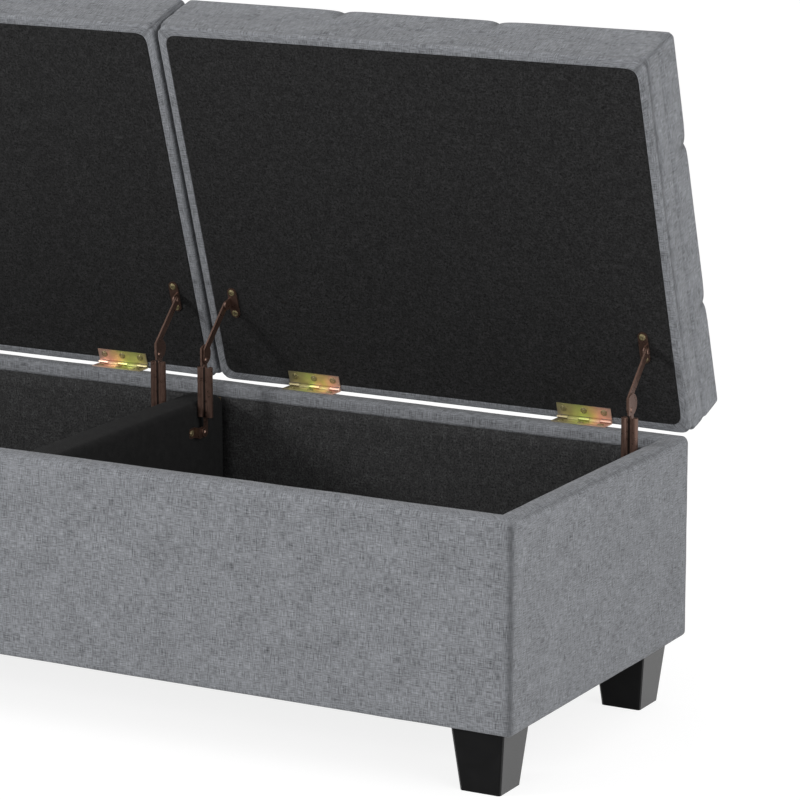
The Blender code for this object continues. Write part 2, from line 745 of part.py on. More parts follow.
def quilt_height(x, y, half_x, half_y):
    """Height of the tufted top above the lid's underside."""
    swell_x = pillow(x, half_x)
    swell_y = pillow(y, half_y)
    swell = PLEAT_SHARE * (swell_x + swell_y) + (1 - 2 * PLEAT_SHARE) * swell_x * swell_y
    fall = LID_EDGE_FALL * ((x / half_x) ** 4 + (y / half_y) ** 4)
    return LID_CROWN - TUFT_DEPTH * (1 - swell) - fall


def onto_corner(x, y, half_x, half_y, radius):
    """Move a point of a rectangle's edge onto the round corner near it."""
    gap_x = half_x - abs(x)
    gap_y = half_y - abs(y)
    gap = max(gap_x, gap_y)
    if gap >= radius:
        return x, y
    turn = math.radians(45) * (1 - gap / radius)
    if gap_y <= gap_x:
        reach_x, reach_y = math.sin(turn), math.cos(turn)
    else:
        reach_x, reach_y = math.cos(turn), math.sin(turn)
    corner_x = half_x - radius + radius * reach_x
    corner_y = half_y - radius + radius * reach_y
    return math.copysign(corner_x, x), math.copysign(corner_y, y)


def edge_point(x, y, crown, inset, radius):
    """Point of a lid's outline at some inset, below a point of the crown's outline."""
    moved = []
    for value, crown_half, half in ((x, crown[0], LID_LENGTH / 2), (y, crown[1], LID_DEPTH / 2)):
        pleat = TUFT_PITCH / 2
        stretch = (half - inset - pleat) / (crown_half - pleat)
        if abs(value) > pleat:
            value = math.copysign(pleat + (abs(value) - pleat) * stretch, value)
        moved.append(value)
    return onto_corner(*moved, LID_LENGTH / 2 - inset, LID_DEPTH / 2 - inset, radius)


def lid_levels(height, pleat_bite, draw):
    """(inset, height) down the side of a lid at one place, from below the crown to the hem."""
    levels = []
    for angle in (30, 60, 90):
        turn = math.radians(angle)
        inset = LID_EDGE_RADIUS * (1 - math.sin(turn)) + pleat_bite * math.sin(turn)
        levels.append((inset, height - LID_EDGE_RADIUS * (1 - math.cos(turn))))
    levels.append((draw, BAND_HEIGHT + BAND_ROLL))
    levels.append((draw + BAND_CREASE, BAND_HEIGHT))
    levels.append((draw / 2, BAND_HEIGHT - BAND_ROLL))
    levels += arc((LID_HEM_RADIUS, LID_HEM_RADIUS), LID_HEM_RADIUS, 180, 270, 2)
    return levels


def lid_crown():
    """Half sizes of the flat-lying part of a lid's top, inside its rolled edge."""
    return LID_LENGTH / 2 - LID_EDGE_RADIUS, LID_DEPTH / 2 - LID_EDGE_RADIUS


def rim_spots(columns, rows):
    """Grid points round the edge of the crown, anticlockwise, as (X, Y)."""
    spots = [(x, rows[0]) for x in columns[:-1]]
    spots += [(columns[-1], y) for y in rows[:-1]]
    spots += [(x, rows[-1]) for x in columns[:0:-1]]
    spots += [(columns[0], y) for y in rows[:0:-1]]
    return spots


def lid_cover_shape():
    """Tufted cover of a lid, open underneath, with its hem turned in. Origin on the hinge line."""
    crown = lid_crown()
    columns = cell_lines(crown[0], CELL_COLUMNS)
    rows = cell_lines(crown[1], CELL_ROWS)
    crown_radius = LID_CORNER_RADIUS - LID_EDGE_RADIUS
    shape = bmesh.new()
    top = {}
    for y in rows:
        for x in columns:
            place_x, place_y = onto_corner(x, y, *crown, crown_radius)
            top[x, y] = shape.verts.new((place_x, place_y, quilt_height(x, y, *crown)))
    for low_y, high_y in zip(rows, rows[1:]):
        for low_x, high_x in zip(columns, columns[1:]):
            corners = ((low_x, low_y), (high_x, low_y), (high_x, high_y), (low_x, high_y))
            shape.faces.new([top[corner] for corner in corners])
    rim = rim_spots(columns, rows)
    upper = [top[spot] for spot in rim]
    sides = [lid_side(x, y, crown) for x, y in rim]
    for level in range(len(sides[0])):
        ring = [shape.verts.new(points[level]) for points in sides]
        for index in range(len(rim)):
            after = (index + 1) % len(rim)
            shape.faces.new((upper[index], upper[after], ring[after], ring[index]))
        upper = ring
    shape.faces.new(upper)
    bmesh.ops.translate(shape, vec=(0.0, LID_MIDDLE, LID_LIFT), verts=shape.verts)
    return shape


def lid_side(x, y, crown):
    """Points down the outside of a lid, round its hem and up inside to the top of its hollow."""
    on_end = crown[0] - abs(x) < crown[1] - abs(y)
    along, half = (y, crown[1]) if on_end else (x, crown[0])
    at_pleat = math.isclose(abs(along), TUFT_PITCH / 2, abs_tol=SAME_PLACE)
    draw = SIDE_DRAW * (1 - (along / half) ** 2)
    bite = draw + (PLEAT_BITE if at_pleat else 0.0)
    points = []
    for inset, height in lid_levels(quilt_height(x, y, *crown), bite, draw):
        radius = max(LID_CORNER_RADIUS - inset, LID_HEM_RADIUS)
        points.append((*edge_point(x, y, crown, inset, radius), height))
    inside = ((LID_HEM_WIDTH, 0.0), (LID_HEM_WIDTH, CLOTH), (LID_WALL, CLOTH), (LID_WALL, CAVITY_TOP))
    for inset, height in inside:
        radius = LINING_CORNER_RADIUS if inset == LID_HEM_WIDTH else LID_CORNER_RADIUS
        points.append((*edge_point(x, y, crown, inset, radius), height))
    return points


def lid_slab(inset, radius, low, high):
    """Flat slab under a lid's cover, with the cover's outline at some inset, about the hinge line."""
    crown = lid_crown()
    outline = []
    for x, y in rim_spots(cell_lines(crown[0], CELL_COLUMNS), cell_lines(crown[1], CELL_ROWS)):
        place_x, place_y = edge_point(x, y, crown, inset, radius)
        outline.append((place_x, place_y + LID_MIDDLE))
    return prism(outline, LID_LIFT + low, LID_LIFT + high, 2)


def make_lid(name, side):
    """Board, foam, cover, lining, hinge leaves and stay brackets of one lid."""
    spot = (side * LID_CENTRE, HINGE_Y, HINGE_Z)
    tilt = -OPEN_ANGLE
    board_low = CLOTH + SEAT
    board_high = board_low + LID_BOARD
    foam_inset = LID_WALL + SEAT
    place(f"{name}_lid_cover", lid_cover_shape(), grey_linen(), spot, tilt)
    foam = lid_slab(foam_inset, LID_CORNER_RADIUS - SEAT, board_high + SEAT, CAVITY_TOP - SEAT)
    place(f"{name}_lid_foam", foam, pale_foam(), spot, tilt)
    board = lid_slab(LID_BOARD_INSET, LID_CORNER_RADIUS, board_low, board_high)
    board = drill(board, lid_holes(side))
    place(f"{name}_lid_board", board, plain_board(), spot, tilt)
    lining = lid_slab(LINING_INSET, LINING_CORNER_RADIUS - SEAT, 0.0, CLOTH)
    lining = drill(lining, lid_holes(side))
    place(f"{name}_lid_lining", lining, black_felt(), spot, tilt)
    for position, centre in hinge_centres(side).items():
        line = (centre, HINGE_Y, HINGE_Z)
        place(f"{name}_{position}_hinge_lid_leaf", leaf_shape(1, -1), yellow_zinc(), line, tilt)
    make_lid_brackets(name, side, tilt)


def facing(shape, inward):
    """Turn a stay piece drawn for a wall at its left to face the way its own wall does."""
    bmesh.ops.scale(shape, vec=(inward, 1.0, 1.0), verts=shape.verts)
    return shape


def lid_ear():
    """(Y, Z) of the lid bracket's rivet about the hinge line, with the lid shut."""
    return -EAR_REACH, LID_LIFT - EAR_DROP


def ear_when_open():
    """World (Y, Z) of the lid bracket's rivet with the lid open."""
    y, z = lid_ear()
    turned_y = y * math.cos(OPEN_ANGLE) + z * math.sin(OPEN_ANGLE)
    turned_z = z * math.cos(OPEN_ANGLE) - y * math.sin(OPEN_ANGLE)
    return HINGE_Y + turned_y, HINGE_Z + turned_z


def make_lid_brackets(name, side, tilt):
    """Oval plate screwed under the lid, with an ear and the rivet that the arm turns on."""
    y, z = lid_ear()
    plate_top = EAR_DROP - SEAT
    plate_low = plate_top - BRACKET_PLATE
    half_width = LID_PLATE_WIDTH / 2
    middle = LID_EAR_LOW + half_width
    half_run = LID_PLATE_LENGTH / 2 - half_width
    for position, (wall_x, inward) in stay_walls(side).items():
        oval = round_strip([(middle, -half_run), (middle, half_run)], LID_PLATE_WIDTH)
        screws = []
        for way in (-1, 1):
            point = (middle, way * LID_PLATE_SCREWS / 2, plate_low)
            screws.append(screw(point, (0, 0, -1), BRACKET_PLATE))
        shape = combine(prism(oval, plate_low, plate_top, 2), gather(screws), "UNION")
        plate_middle = plate_top - BRACKET_PLATE / 2
        outline = [(EYE_RADIUS, plate_middle), (-EYE_RADIUS, plate_middle)]
        outline += arc((0.0, 0.0), EYE_RADIUS, 180, 360, 6)
        ear = prism(outline, LID_EAR_LOW, LID_EAR_LOW + BRACKET_PLATE, 0)
        shape = combine(shape, ear, "UNION")
        head_low = ARM_LOW - SEAT - RIVET_HEAD
        shape = combine(shape, rivet(LID_EAR_LOW + BRACKET_PLATE / 2, ARM_LOW - SEAT, head_low), "UNION")
        spot = (wall_x, HINGE_Y, HINGE_Z)
        bmesh.ops.translate(shape, vec=(0.0, y, z), verts=shape.verts)
        place(f"{name}_{position}_stay_lid_bracket", facing(shape, inward), bronze_steel(), spot, tilt)


def rivet(start, neck, end):
    """Pin along X from inside a plate, with a head between neck and end."""
    way = math.copysign(1.0, end - start)
    profile = [(RIVET_RADIUS, 0.0), (RIVET_RADIUS, abs(neck - start)), (RIVET_HEAD_RADIUS, abs(neck - start))]
    profile.append((RIVET_CROWN_RADIUS, abs(end - start)))
    return turned(profile, SMALL_SIDES, towards((start, 0.0, 0.0), (way, 0.0, 0.0)))


def make_wall_bracket(name, wall_x, inward):
    """Z-bent bracket screwed to the bin's wall, with the rivet that the tongue turns on."""
    flange = SEAT + BRACKET_PLATE / 2
    ear = WALL_EAR_LOW + BRACKET_PLATE / 2
    path = [(flange, -WALL_FLANGE_REACH), (flange, -WALL_WEB_REACH)]
    path += [(ear, -WALL_WEB_REACH), (ear, EYE_RADIUS)]
    half = WALL_FLANGE_HEIGHT / 2
    shape = prism(strip_outline(path, BRACKET_PLATE), -half, half, 2)
    ends = (-WALL_FLANGE_REACH, EYE_RADIUS)
    corners = []
    for edge in shape.edges:
        first, second = edge.verts
        level = math.isclose(first.co.z, second.co.z, abs_tol=SAME_PLACE)
        if level and any(abs(first.co.y - end) + abs(second.co.y - end) < SAME_PLACE for end in ends):
            corners.append(edge)
    bmesh.ops.bevel(shape, geom=corners, offset=WALL_FLANGE_ROUND, segments=3, profile=0.5, affect="EDGES")
    point = (SEAT + BRACKET_PLATE, -WALL_SCREW_REACH, 0.0)
    shape = combine(shape, screw(point, (1, 0, 0), BRACKET_PLATE), "UNION")
    neck = TONGUE_HIGH + SEAT
    shape = combine(shape, rivet(ear, neck, neck + RIVET_HEAD), "UNION")
    spot = (wall_x, STAY_PIVOT_Y, STAY_PIVOT_Z)
    place(f"{name}_stay_wall_bracket", facing(shape, inward), bronze_steel(), spot)


def make_tongue(name, wall_x, inward):
    """Flat strap from the wall pivot through the canister to the round-backed elbow plate."""
    strap_back = STRAP_FRONT + STRAP_WIDTH
    centre = (ELBOW_PLATE_SHIFT, ELBOW_RISE + ELBOW_PLATE_RISE)
    lower = -math.degrees(math.acos((strap_back - centre[0]) / ELBOW_PLATE_RADIUS))
    upper = math.degrees(math.acos((-ELBOW_PLATE_FRONT - centre[0]) / ELBOW_PLATE_RADIUS))
    shoulder = centre[1] + ELBOW_PLATE_RADIUS * math.sin(math.radians(lower))
    outline = arc(centre, ELBOW_PLATE_RADIUS, lower, upper, 10)
    outline += [(-ELBOW_PLATE_FRONT, shoulder), (STRAP_FRONT, shoulder)]
    front = math.degrees(math.acos(STRAP_FRONT / EYE_RADIUS))
    back = math.degrees(math.acos(strap_back / EYE_RADIUS))
    outline += arc((0.0, 0.0), EYE_RADIUS, front, 360 + back, 8)
    shape = prism(outline, TONGUE_LOW, TONGUE_HIGH, 0)
    hole = ((0.0, 0.0, 0.0), (1, 0, 0), RIVET_RADIUS + RUN, 2 * STAY_OFFSET)
    shape = drill(shape, [hole])
    shape = combine(shape, rivet_head(TONGUE_LOW, -1, (0.0, ELBOW_RISE)), "UNION")
    spot = (wall_x, STAY_PIVOT_Y, STAY_PIVOT_Z)
    place(f"{name}_stay_tongue", facing(shape, inward), bronze_steel(), spot)


def rivet_head(face, way, centre):
    """Low round head on the face of a plate, sunk into it by half a plate."""
    sunk = STAY_PLATE / 2
    profile = [(RIVET_HEAD_RADIUS, 0.0), (RIVET_HEAD_RADIUS, sunk), (RIVET_CROWN_RADIUS, sunk + RIVET_HEAD)]
    start = (face - way * sunk, *centre)
    return turned(profile, SMALL_SIDES, towards(start, (way, 0.0, 0.0)))


def make_canister(name, wall_x, inward):
    """Sheet rolled into two barrels, side by side, with a web sunk between them."""
    half = BARREL_SPACING / 2
    meet = math.degrees(math.asin(SLEEVE_FRONT / BARREL_RADIUS))
    path = arc((STAY_OFFSET - half, 0.0), BARREL_RADIUS, BARREL_SLIT, 360 + meet, 10)
    path += arc((STAY_OFFSET + half, 0.0), BARREL_RADIUS, -180 - meet, 180 - BARREL_SLIT, 10)
    shape = prism(strip_outline(path, CANISTER_SHEET), CANISTER_START, CANISTER_START + CANISTER_LENGTH, 2)
    spot = (wall_x, STAY_PIVOT_Y, STAY_PIVOT_Z)
    place(f"{name}_stay_canister", facing(shape, inward), bronze_steel(), spot)


def make_arm(name, wall_x, inward):
    """Cranked flat bar from the elbow to the lid bracket's ear. Origin on the ear's rivet."""
    ear_y, ear_z = ear_when_open()
    elbow = (STAY_PIVOT_Y - ear_y, STAY_PIVOT_Z + ELBOW_RISE - ear_z)
    knee = (elbow[0], elbow[1] + KNEE_RISE)
    outline = round_strip([elbow, knee, (0.0, 0.0)], ARM_WIDTH)
    shape = prism(outline, ARM_LOW, ARM_HIGH, 0)
    hole = ((0.0, 0.0, 0.0), (1, 0, 0), RIVET_RADIUS + RUN, 2 * STAY_OFFSET)
    shape = drill(shape, [hole])
    shape = combine(shape, rivet_head(ARM_HIGH, 1, elbow), "UNION")
    place(f"{name}_stay_arm", facing(shape, inward), bronze_steel(), (wall_x, ear_y, ear_z))


def make_stays():
    """The four folding stays without their lid brackets."""
    for name, side in SIDES.items():
        for position, (wall_x, inward) in stay_walls(side).items():
            stay = f"{name}_{position}"
            make_wall_bracket(stay, wall_x, inward)
            make_tongue(stay, wall_x, inward)
            make_canister(stay, wall_x, inward)
            make_arm(stay, wall_x, inward)


def main():
    """Build the whole bench."""
    clear_scene()
    make_boards()
    make_base_padding()
    make_base_cover()
    make_linings()
    make_divider()
    make_dust_cover()
    make_feet()
    make_base_hinges()
    for name, side in SIDES.items():
        make_lid(name, side)
    make_stays()


main()
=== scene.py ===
"""Looks of a storage ottoman bench: cloth, felt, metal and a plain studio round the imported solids.

Lengths are metres in the frame of the solids: +X along the bench, +Y to its back, +Z up.
Both lids stand open at rest. A lid is drawn shut, about its hinge line, and then turned open.
"""

import logging
import math
from collections.abc import Iterable, Sequence
from dataclasses import dataclass, field
from enum import Enum

import bmesh
import bpy
import numpy as np
from mathutils import Matrix, Vector, noise

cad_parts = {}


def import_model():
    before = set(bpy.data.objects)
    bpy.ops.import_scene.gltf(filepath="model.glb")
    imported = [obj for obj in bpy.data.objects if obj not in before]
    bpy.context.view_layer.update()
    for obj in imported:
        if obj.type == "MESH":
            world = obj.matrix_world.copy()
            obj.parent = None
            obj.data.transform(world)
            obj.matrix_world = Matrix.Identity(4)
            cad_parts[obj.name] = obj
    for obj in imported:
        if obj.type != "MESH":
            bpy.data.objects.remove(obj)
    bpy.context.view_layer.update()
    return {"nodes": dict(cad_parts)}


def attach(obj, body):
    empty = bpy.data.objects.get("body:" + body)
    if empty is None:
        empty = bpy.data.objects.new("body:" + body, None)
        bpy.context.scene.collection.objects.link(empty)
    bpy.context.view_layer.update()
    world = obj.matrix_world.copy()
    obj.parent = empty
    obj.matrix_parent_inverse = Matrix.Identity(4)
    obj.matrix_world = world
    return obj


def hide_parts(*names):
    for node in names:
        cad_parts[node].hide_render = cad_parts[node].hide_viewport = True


LOG = logging.getLogger("bench")
CLOTH_MAP = "cloth"
# point attribute of painted shade: how dark each point is painted for the shade in seams, creases,
# pleats and slits
PAINTED_SHADE_MAP = "seam"
SAME_PLACE = 1e-5
MILLIMETRE = 0.001

Spot = tuple[float, float]
Point = tuple[float, float, float]
Cell = tuple[int, int]
Colour = tuple[float, float, float]
Socket = bpy.types.NodeSocket
Feed = float | Sequence[float] | Socket


class Side(Enum):
    """Halves of the bench, as the sign of X."""

    LEFT = -1
    RIGHT = 1

    @property
    def word(self) -> str:
        """Name of the half as the solids have it."""
        return self.name.lower()


class Place(Enum):
    """Places of a hinge or a stay on one lid."""

    INNER = "inner"
    OUTER = "outer"


class Slot(Enum):
    """Names of material slots, which nothing in this script uses."""

    LINEN = "grey_linen"
    FELT = "black_felt"
    FOAM = "pale_foam"
    ZINC = "yellow_zinc"
    BRONZE = "bronze_steel"


class Effect(Enum):
    """Shared effects, each one node group."""

    WEAVE = "woven_threads"
    FIBRE = "matted_fibre"
    DRAWN = "drawn_metal"
    WEAR = "edge_wear"


class Graph:
    """Lays out the nodes of one tree in few words."""

    def __init__(self, tree: bpy.types.NodeTree) -> None:
        """Keep the tree that the nodes go into."""
        self.tree = tree

    def feed(self, node: bpy.types.Node, inputs: dict[str | int, Feed]) -> None:
        """Set a node's inputs.

        Args:
            node: The node.
            inputs: Values to set or sockets to link, by the input's name or number.
        """
        for key, value in inputs.items():
            if isinstance(value, Socket):
                self.tree.links.new(value, node.inputs[key])
            else:
                node.inputs[key].default_value = value

    def add(
        self, kind: str, inputs: dict[str | int, Feed] | None = None, **settings: object
    ) -> bpy.types.Node:
        """Add a node.

        Args:
            kind: Blender's name of the node type.
            inputs: Values or sockets for its inputs, by name or number.
            settings: Properties of the node.

        Returns:
            The node.
        """
        node = self.tree.nodes.new(kind)
        for name, value in settings.items():
            setattr(node, name, value)
        self.feed(node, inputs or {})
        return node

    def sum(self, operation: str, *terms: Feed) -> Socket:
        """Result of one Math node."""
        return self.add("ShaderNodeMath", dict(enumerate(terms)), operation=operation).outputs[0]

    def times(self, first: Feed, second: Feed) -> Socket:
        """Product of two values."""
        return self.sum("MULTIPLY", first, second)

    def stretched(self, vector: Socket, scale: Sequence[float]) -> Socket:
        """Coordinates multiplied axis by axis."""
        inputs = {0: vector, 1: scale}
        return self.add("ShaderNodeVectorMath", inputs, operation="MULTIPLY").outputs[0]

    def split(self, vector: Socket) -> bpy.types.bpy_prop_collection:
        """The three parts of a vector."""
        return self.add("ShaderNodeSeparateXYZ", {0: vector}).outputs

    def noise(self, vector: Socket, scale: Feed, detail: float = 2.0, **inputs: Feed) -> Socket:
        """Value of a noise texture.

        Args:
            vector: Where.
            scale: Number of features in a metre.
            detail: Number of finer layers.
            inputs: Other inputs of the texture, by name.

        Returns:
            A value about 0.5.
        """
        values = {"Vector": vector, "Scale": scale, "Detail": detail}
        values.update({name.capitalize(): value for name, value in inputs.items()})
        return self.add("ShaderNodeTexNoise", values).outputs["Fac"]

    def spread(
        self, value: Feed, low: Feed, high: Feed, to_low: Feed = 0.0, to_high: Feed = 1.0
    ) -> Socket:
        """Value mapped from one range to another, held at the ends."""
        inputs = {"Value": value, 1: low, 2: high, 3: to_low, 4: to_high}
        return self.add("ShaderNodeMapRange", inputs).outputs[0]

    def tint(self, share: Feed, first: Feed, second: Feed) -> Socket:
        """Colour between two colours."""
        inputs = {0: share, 6: first, 7: second}
        return self.add("ShaderNodeMix", inputs, data_type="RGBA").outputs[2]

    def ramp(self, value: Socket, stops: Sequence[tuple[float, Colour]]) -> Socket:
        """Colour along a ramp.

        Args:
            value: Where on the ramp.
            stops: Place and colour of each stop, in order.

        Returns:
            The colour socket.
        """
        node = self.add("ShaderNodeValToRGB", {0: value})
        elements = node.color_ramp.elements
        while len(elements) < len(stops):
            elements.new(1.0)
        for element, (place, colour) in zip(elements, stops):
            element.position = place
            element.color = (*colour, 1.0)
        return node.outputs[0]

    def bump(self, height: Socket, strength: float, distance: float) -> Socket:
        """Normal from a height."""
        inputs = {"Height": height, "Strength": strength, "Distance": distance}
        return self.add("ShaderNodeBump", inputs).outputs[0]


class Effects:
    """Builds each shared effect once, as a node group, and places it in materials."""

    @classmethod
    def place(
        cls, graph: Graph, effect: Effect, **inputs: Feed
    ) -> bpy.types.bpy_prop_collection:
        """Put an effect into a material.

        Args:
            graph: The material's nodes.
            effect: Which effect.
            inputs: Values or sockets for its inputs, by name in small letters.

        Returns:
            The effect's outputs.
        """
        makers = {
            Effect.WEAVE: cls.weave,
            Effect.FIBRE: cls.fibre,
            Effect.DRAWN: cls.drawn,
            Effect.WEAR: cls.wear,
        }
        tree = bpy.data.node_groups.get(effect.value) or makers[effect](effect.value)
        named = {name.replace("_", " ").title(): value for name, value in inputs.items()}
        return graph.add("ShaderNodeGroup", named, node_tree=tree).outputs

    @staticmethod
    def begin(name: str, *inputs: str) -> tuple[Graph, bpy.types.bpy_prop_collection]:
        """Start a group.

        Args:
            name: Name of the group.
            inputs: Names of its number inputs. It has a Vector input besides.

        Returns:
            Its nodes, and what it is given.
        """
        tree = bpy.data.node_groups.new(name, "ShaderNodeTree")
        tree.interface.new_socket("Vector", in_out="INPUT", socket_type="NodeSocketVector")
        for item in inputs:
            tree.interface.new_socket(item, in_out="INPUT", socket_type="NodeSocketFloat")
        graph = Graph(tree)
        return graph, graph.add("NodeGroupInput").outputs

    @staticmethod
    def end(graph: Graph, outputs: dict[str, Socket]) -> bpy.types.NodeTree:
        """Finish a group.

        Args:
            graph: Its nodes.
            outputs: Its value outputs.

        Returns:
            The group.
        """
        for item in outputs:
            graph.tree.interface.new_socket(item, in_out="OUTPUT", socket_type="NodeSocketFloat")
        graph.add("NodeGroupOutput", outputs)
        return graph.tree

    @classmethod
    def weave(cls, name: str) -> bpy.types.NodeTree:
        """Plain weave of slubbed yarn, on coordinates in metres along and across the cloth.

        Args:
            name: Name of the group.

        Returns:
            The group.
        """
        graph, given = cls.begin(name, "Pitch", "Slub Length", "Slub Width")
        vector = given["Vector"]
        place = graph.split(vector)
        drift = graph.noise(vector, 60.0, 1.0)
        counts = []
        for axis in (0, 1):
            count = graph.sum("DIVIDE", place[axis], given["Pitch"])
            counts.append(graph.sum("MULTIPLY_ADD", drift, 1.2, count))
        waves = [graph.sum("SINE", graph.times(count, math.pi)) for count in counts]
        crests = [graph.sum("ABSOLUTE", wave) for wave in waves]
        steps = [graph.sum("FLOOR", count) for count in counts]
        over = graph.sum("FLOORED_MODULO", graph.sum("ADD", *steps), 2.0)
        upper = graph.times(crests[0], over)
        lower = graph.times(crests[1], graph.sum("SUBTRACT", 1.0, over))
        streaks, slubs = [], []
        for long_axis in (1, 0):
            sizes = [given["Slub Width"], given["Slub Width"]]
            sizes[long_axis] = given["Slub Length"]
            shares = [graph.sum("DIVIDE", place[axis], sizes[axis]) for axis in (0, 1)]
            inputs = {0: shares[0], 1: shares[1], 2: 7.0 * long_axis}
            yarn = graph.add("ShaderNodeCombineXYZ", inputs).outputs[0]
            streaks.append(graph.spread(graph.noise(yarn, 1.0, 2.0, roughness=0.6), 0.32, 0.68))
            longer = [0.7, 0.7, 1.0]
            longer[long_axis] = 0.35
            slubs.append(graph.spread(graph.noise(graph.stretched(yarn, longer), 1.0, 1.0), 0.58, 0.74))
        outputs = {
            "Height": graph.sum("ADD", upper, lower),
            "Warp": streaks[0],
            "Weft": streaks[1],
            "Cloud": graph.spread(graph.noise(vector, 26.0), 0.3, 0.7),
            "Slub": graph.sum("MAXIMUM", *slubs),
        }
        return cls.end(graph, outputs)

    @classmethod
    def fibre(cls, name: str) -> bpy.types.NodeTree:
        """Matted fibre: fine specks, short hairs and broad thin places.

        Args:
            name: Name of the group.

        Returns:
            The group.
        """
        graph, given = cls.begin(name, "Speck Size", "Hair Length")
        vector = given["Vector"]
        grain = graph.sum("DIVIDE", 1.0, given["Speck Size"])
        length = graph.sum("DIVIDE", 1.0, given["Hair Length"])
        hair = 0.0
        for scale in ((1.0, 7.0, 7.0), (7.0, 1.0, 7.0), (7.0, 7.0, 1.0)):
            strand = graph.noise(graph.stretched(vector, scale), length, 2.0, distortion=1.2)
            hair = graph.sum("MAXIMUM", hair, strand)
        outputs = {
            "Speck": graph.spread(graph.noise(vector, grain, 3.0, roughness=0.75), 0.34, 0.68),
            "Hair": graph.spread(hair, 0.55, 0.8),
            "Thin": graph.spread(graph.noise(vector, 120.0), 0.35, 0.65),
        }
        return cls.end(graph, outputs)

    @classmethod
    def drawn(cls, name: str) -> bpy.types.NodeTree:
        """Rolled sheet metal: long draw marks, handling smudges and a broad tint that wanders.

        Args:
            name: Name of the group.

        Returns:
            The group.
        """
        graph, given = cls.begin(name, "Mark Width", "Tint Size")
        vector = given["Vector"]
        fine = graph.sum("DIVIDE", 1.0, given["Mark Width"])
        broad = graph.sum("DIVIDE", 1.0, given["Tint Size"])
        outputs = {
            "Mark": graph.noise(graph.stretched(vector, (1.0, 1.0, 0.03)), fine),
            "Smudge": graph.spread(graph.noise(vector, 190.0, 4.0, roughness=0.65), 0.35, 0.7),
            "Wander": graph.spread(graph.noise(vector, broad, 1.0, distortion=0.8), 0.28, 0.72),
        }
        return cls.end(graph, outputs)

    @classmethod
    def wear(cls, name: str) -> bpy.types.NodeTree:
        """Worn edges that also take a painted highlight: 1 along edges that stand out, broken up by a
        fine grain.

        Args:
            name: Name of the group.

        Returns:
            The group.
        """
        graph, given = cls.begin(name, "Radius", "Grain")
        rounded = graph.add("ShaderNodeBevel", {"Radius": given["Radius"]}, samples=4).outputs[0]
        normals = {0: rounded, 1: graph.add("ShaderNodeNewGeometry").outputs["Normal"]}
        bend = graph.add("ShaderNodeVectorMath", normals, operation="DOT_PRODUCT").outputs["Value"]
        grain = graph.spread(graph.noise(given["Vector"], 420.0, 3.0), 0.3, 0.7)
        kept = graph.sum("SUBTRACT", 1.0, graph.times(grain, given["Grain"]))
        return cls.end(graph, {"Edge": graph.times(graph.spread(bend, 0.995, 0.88), kept)})


@dataclass(frozen=True)
class Finish:
    """A surface finish, made into a material on first use."""

    name: str
    colour: Colour
    roughness: float

    def material(self) -> bpy.types.Material:
        """The finish as a material.

        Returns:
            The same material each time.
        """
        found = bpy.data.materials.get(self.name)
        if found is not None:
            return found
        made = bpy.data.materials.new(self.name)
        made.use_nodes = True
        graph = Graph(made.node_tree)
        shader = made.node_tree.nodes["Principled BSDF"]
        graph.feed(shader, {"Base Color": self.shade(1.0), "Roughness": self.roughness})
        graph.feed(shader, self.lay(graph))
        return made

    def lay(self, graph: Graph) -> dict[str, Feed]:
        """Lay the finish's own nodes, and give what the shader takes from them."""
        raise NotImplementedError

    def shade(self, share: float) -> tuple[float, ...]:
        """The finish's colour made darker or lighter."""
        return tuple(min(1.0, part * share) for part in self.colour) + (1.0,)

    def mottled(self, graph: Graph, value: Socket, low: float, high: float) -> Socket:
        """Colour between two shades of the finish."""
        return graph.tint(value, self.shade(low), self.shade(high))

    def rough(
        self, graph: Graph, value: Socket, low: float, high: float, span: Spot = (0.0, 1.0)
    ) -> Socket:
        """Roughness that departs from the finish's own by low to high, over a span of a value."""
        return graph.spread(value, *span, self.roughness + low, self.roughness + high)

    @staticmethod
    def own_place(graph: Graph) -> Socket:
        """Coordinates fixed to the piece, in metres."""
        return graph.add("ShaderNodeTexCoord").outputs["Object"]

    @staticmethod
    def painted_shade_map(graph: Graph) -> Socket:
        """How much painted shade a place takes, from 0 to 1, for the shade of seams, creases, pleats
        and slits.
        """
        return graph.add("ShaderNodeAttribute", attribute_name=PAINTED_SHADE_MAP).outputs["Fac"]


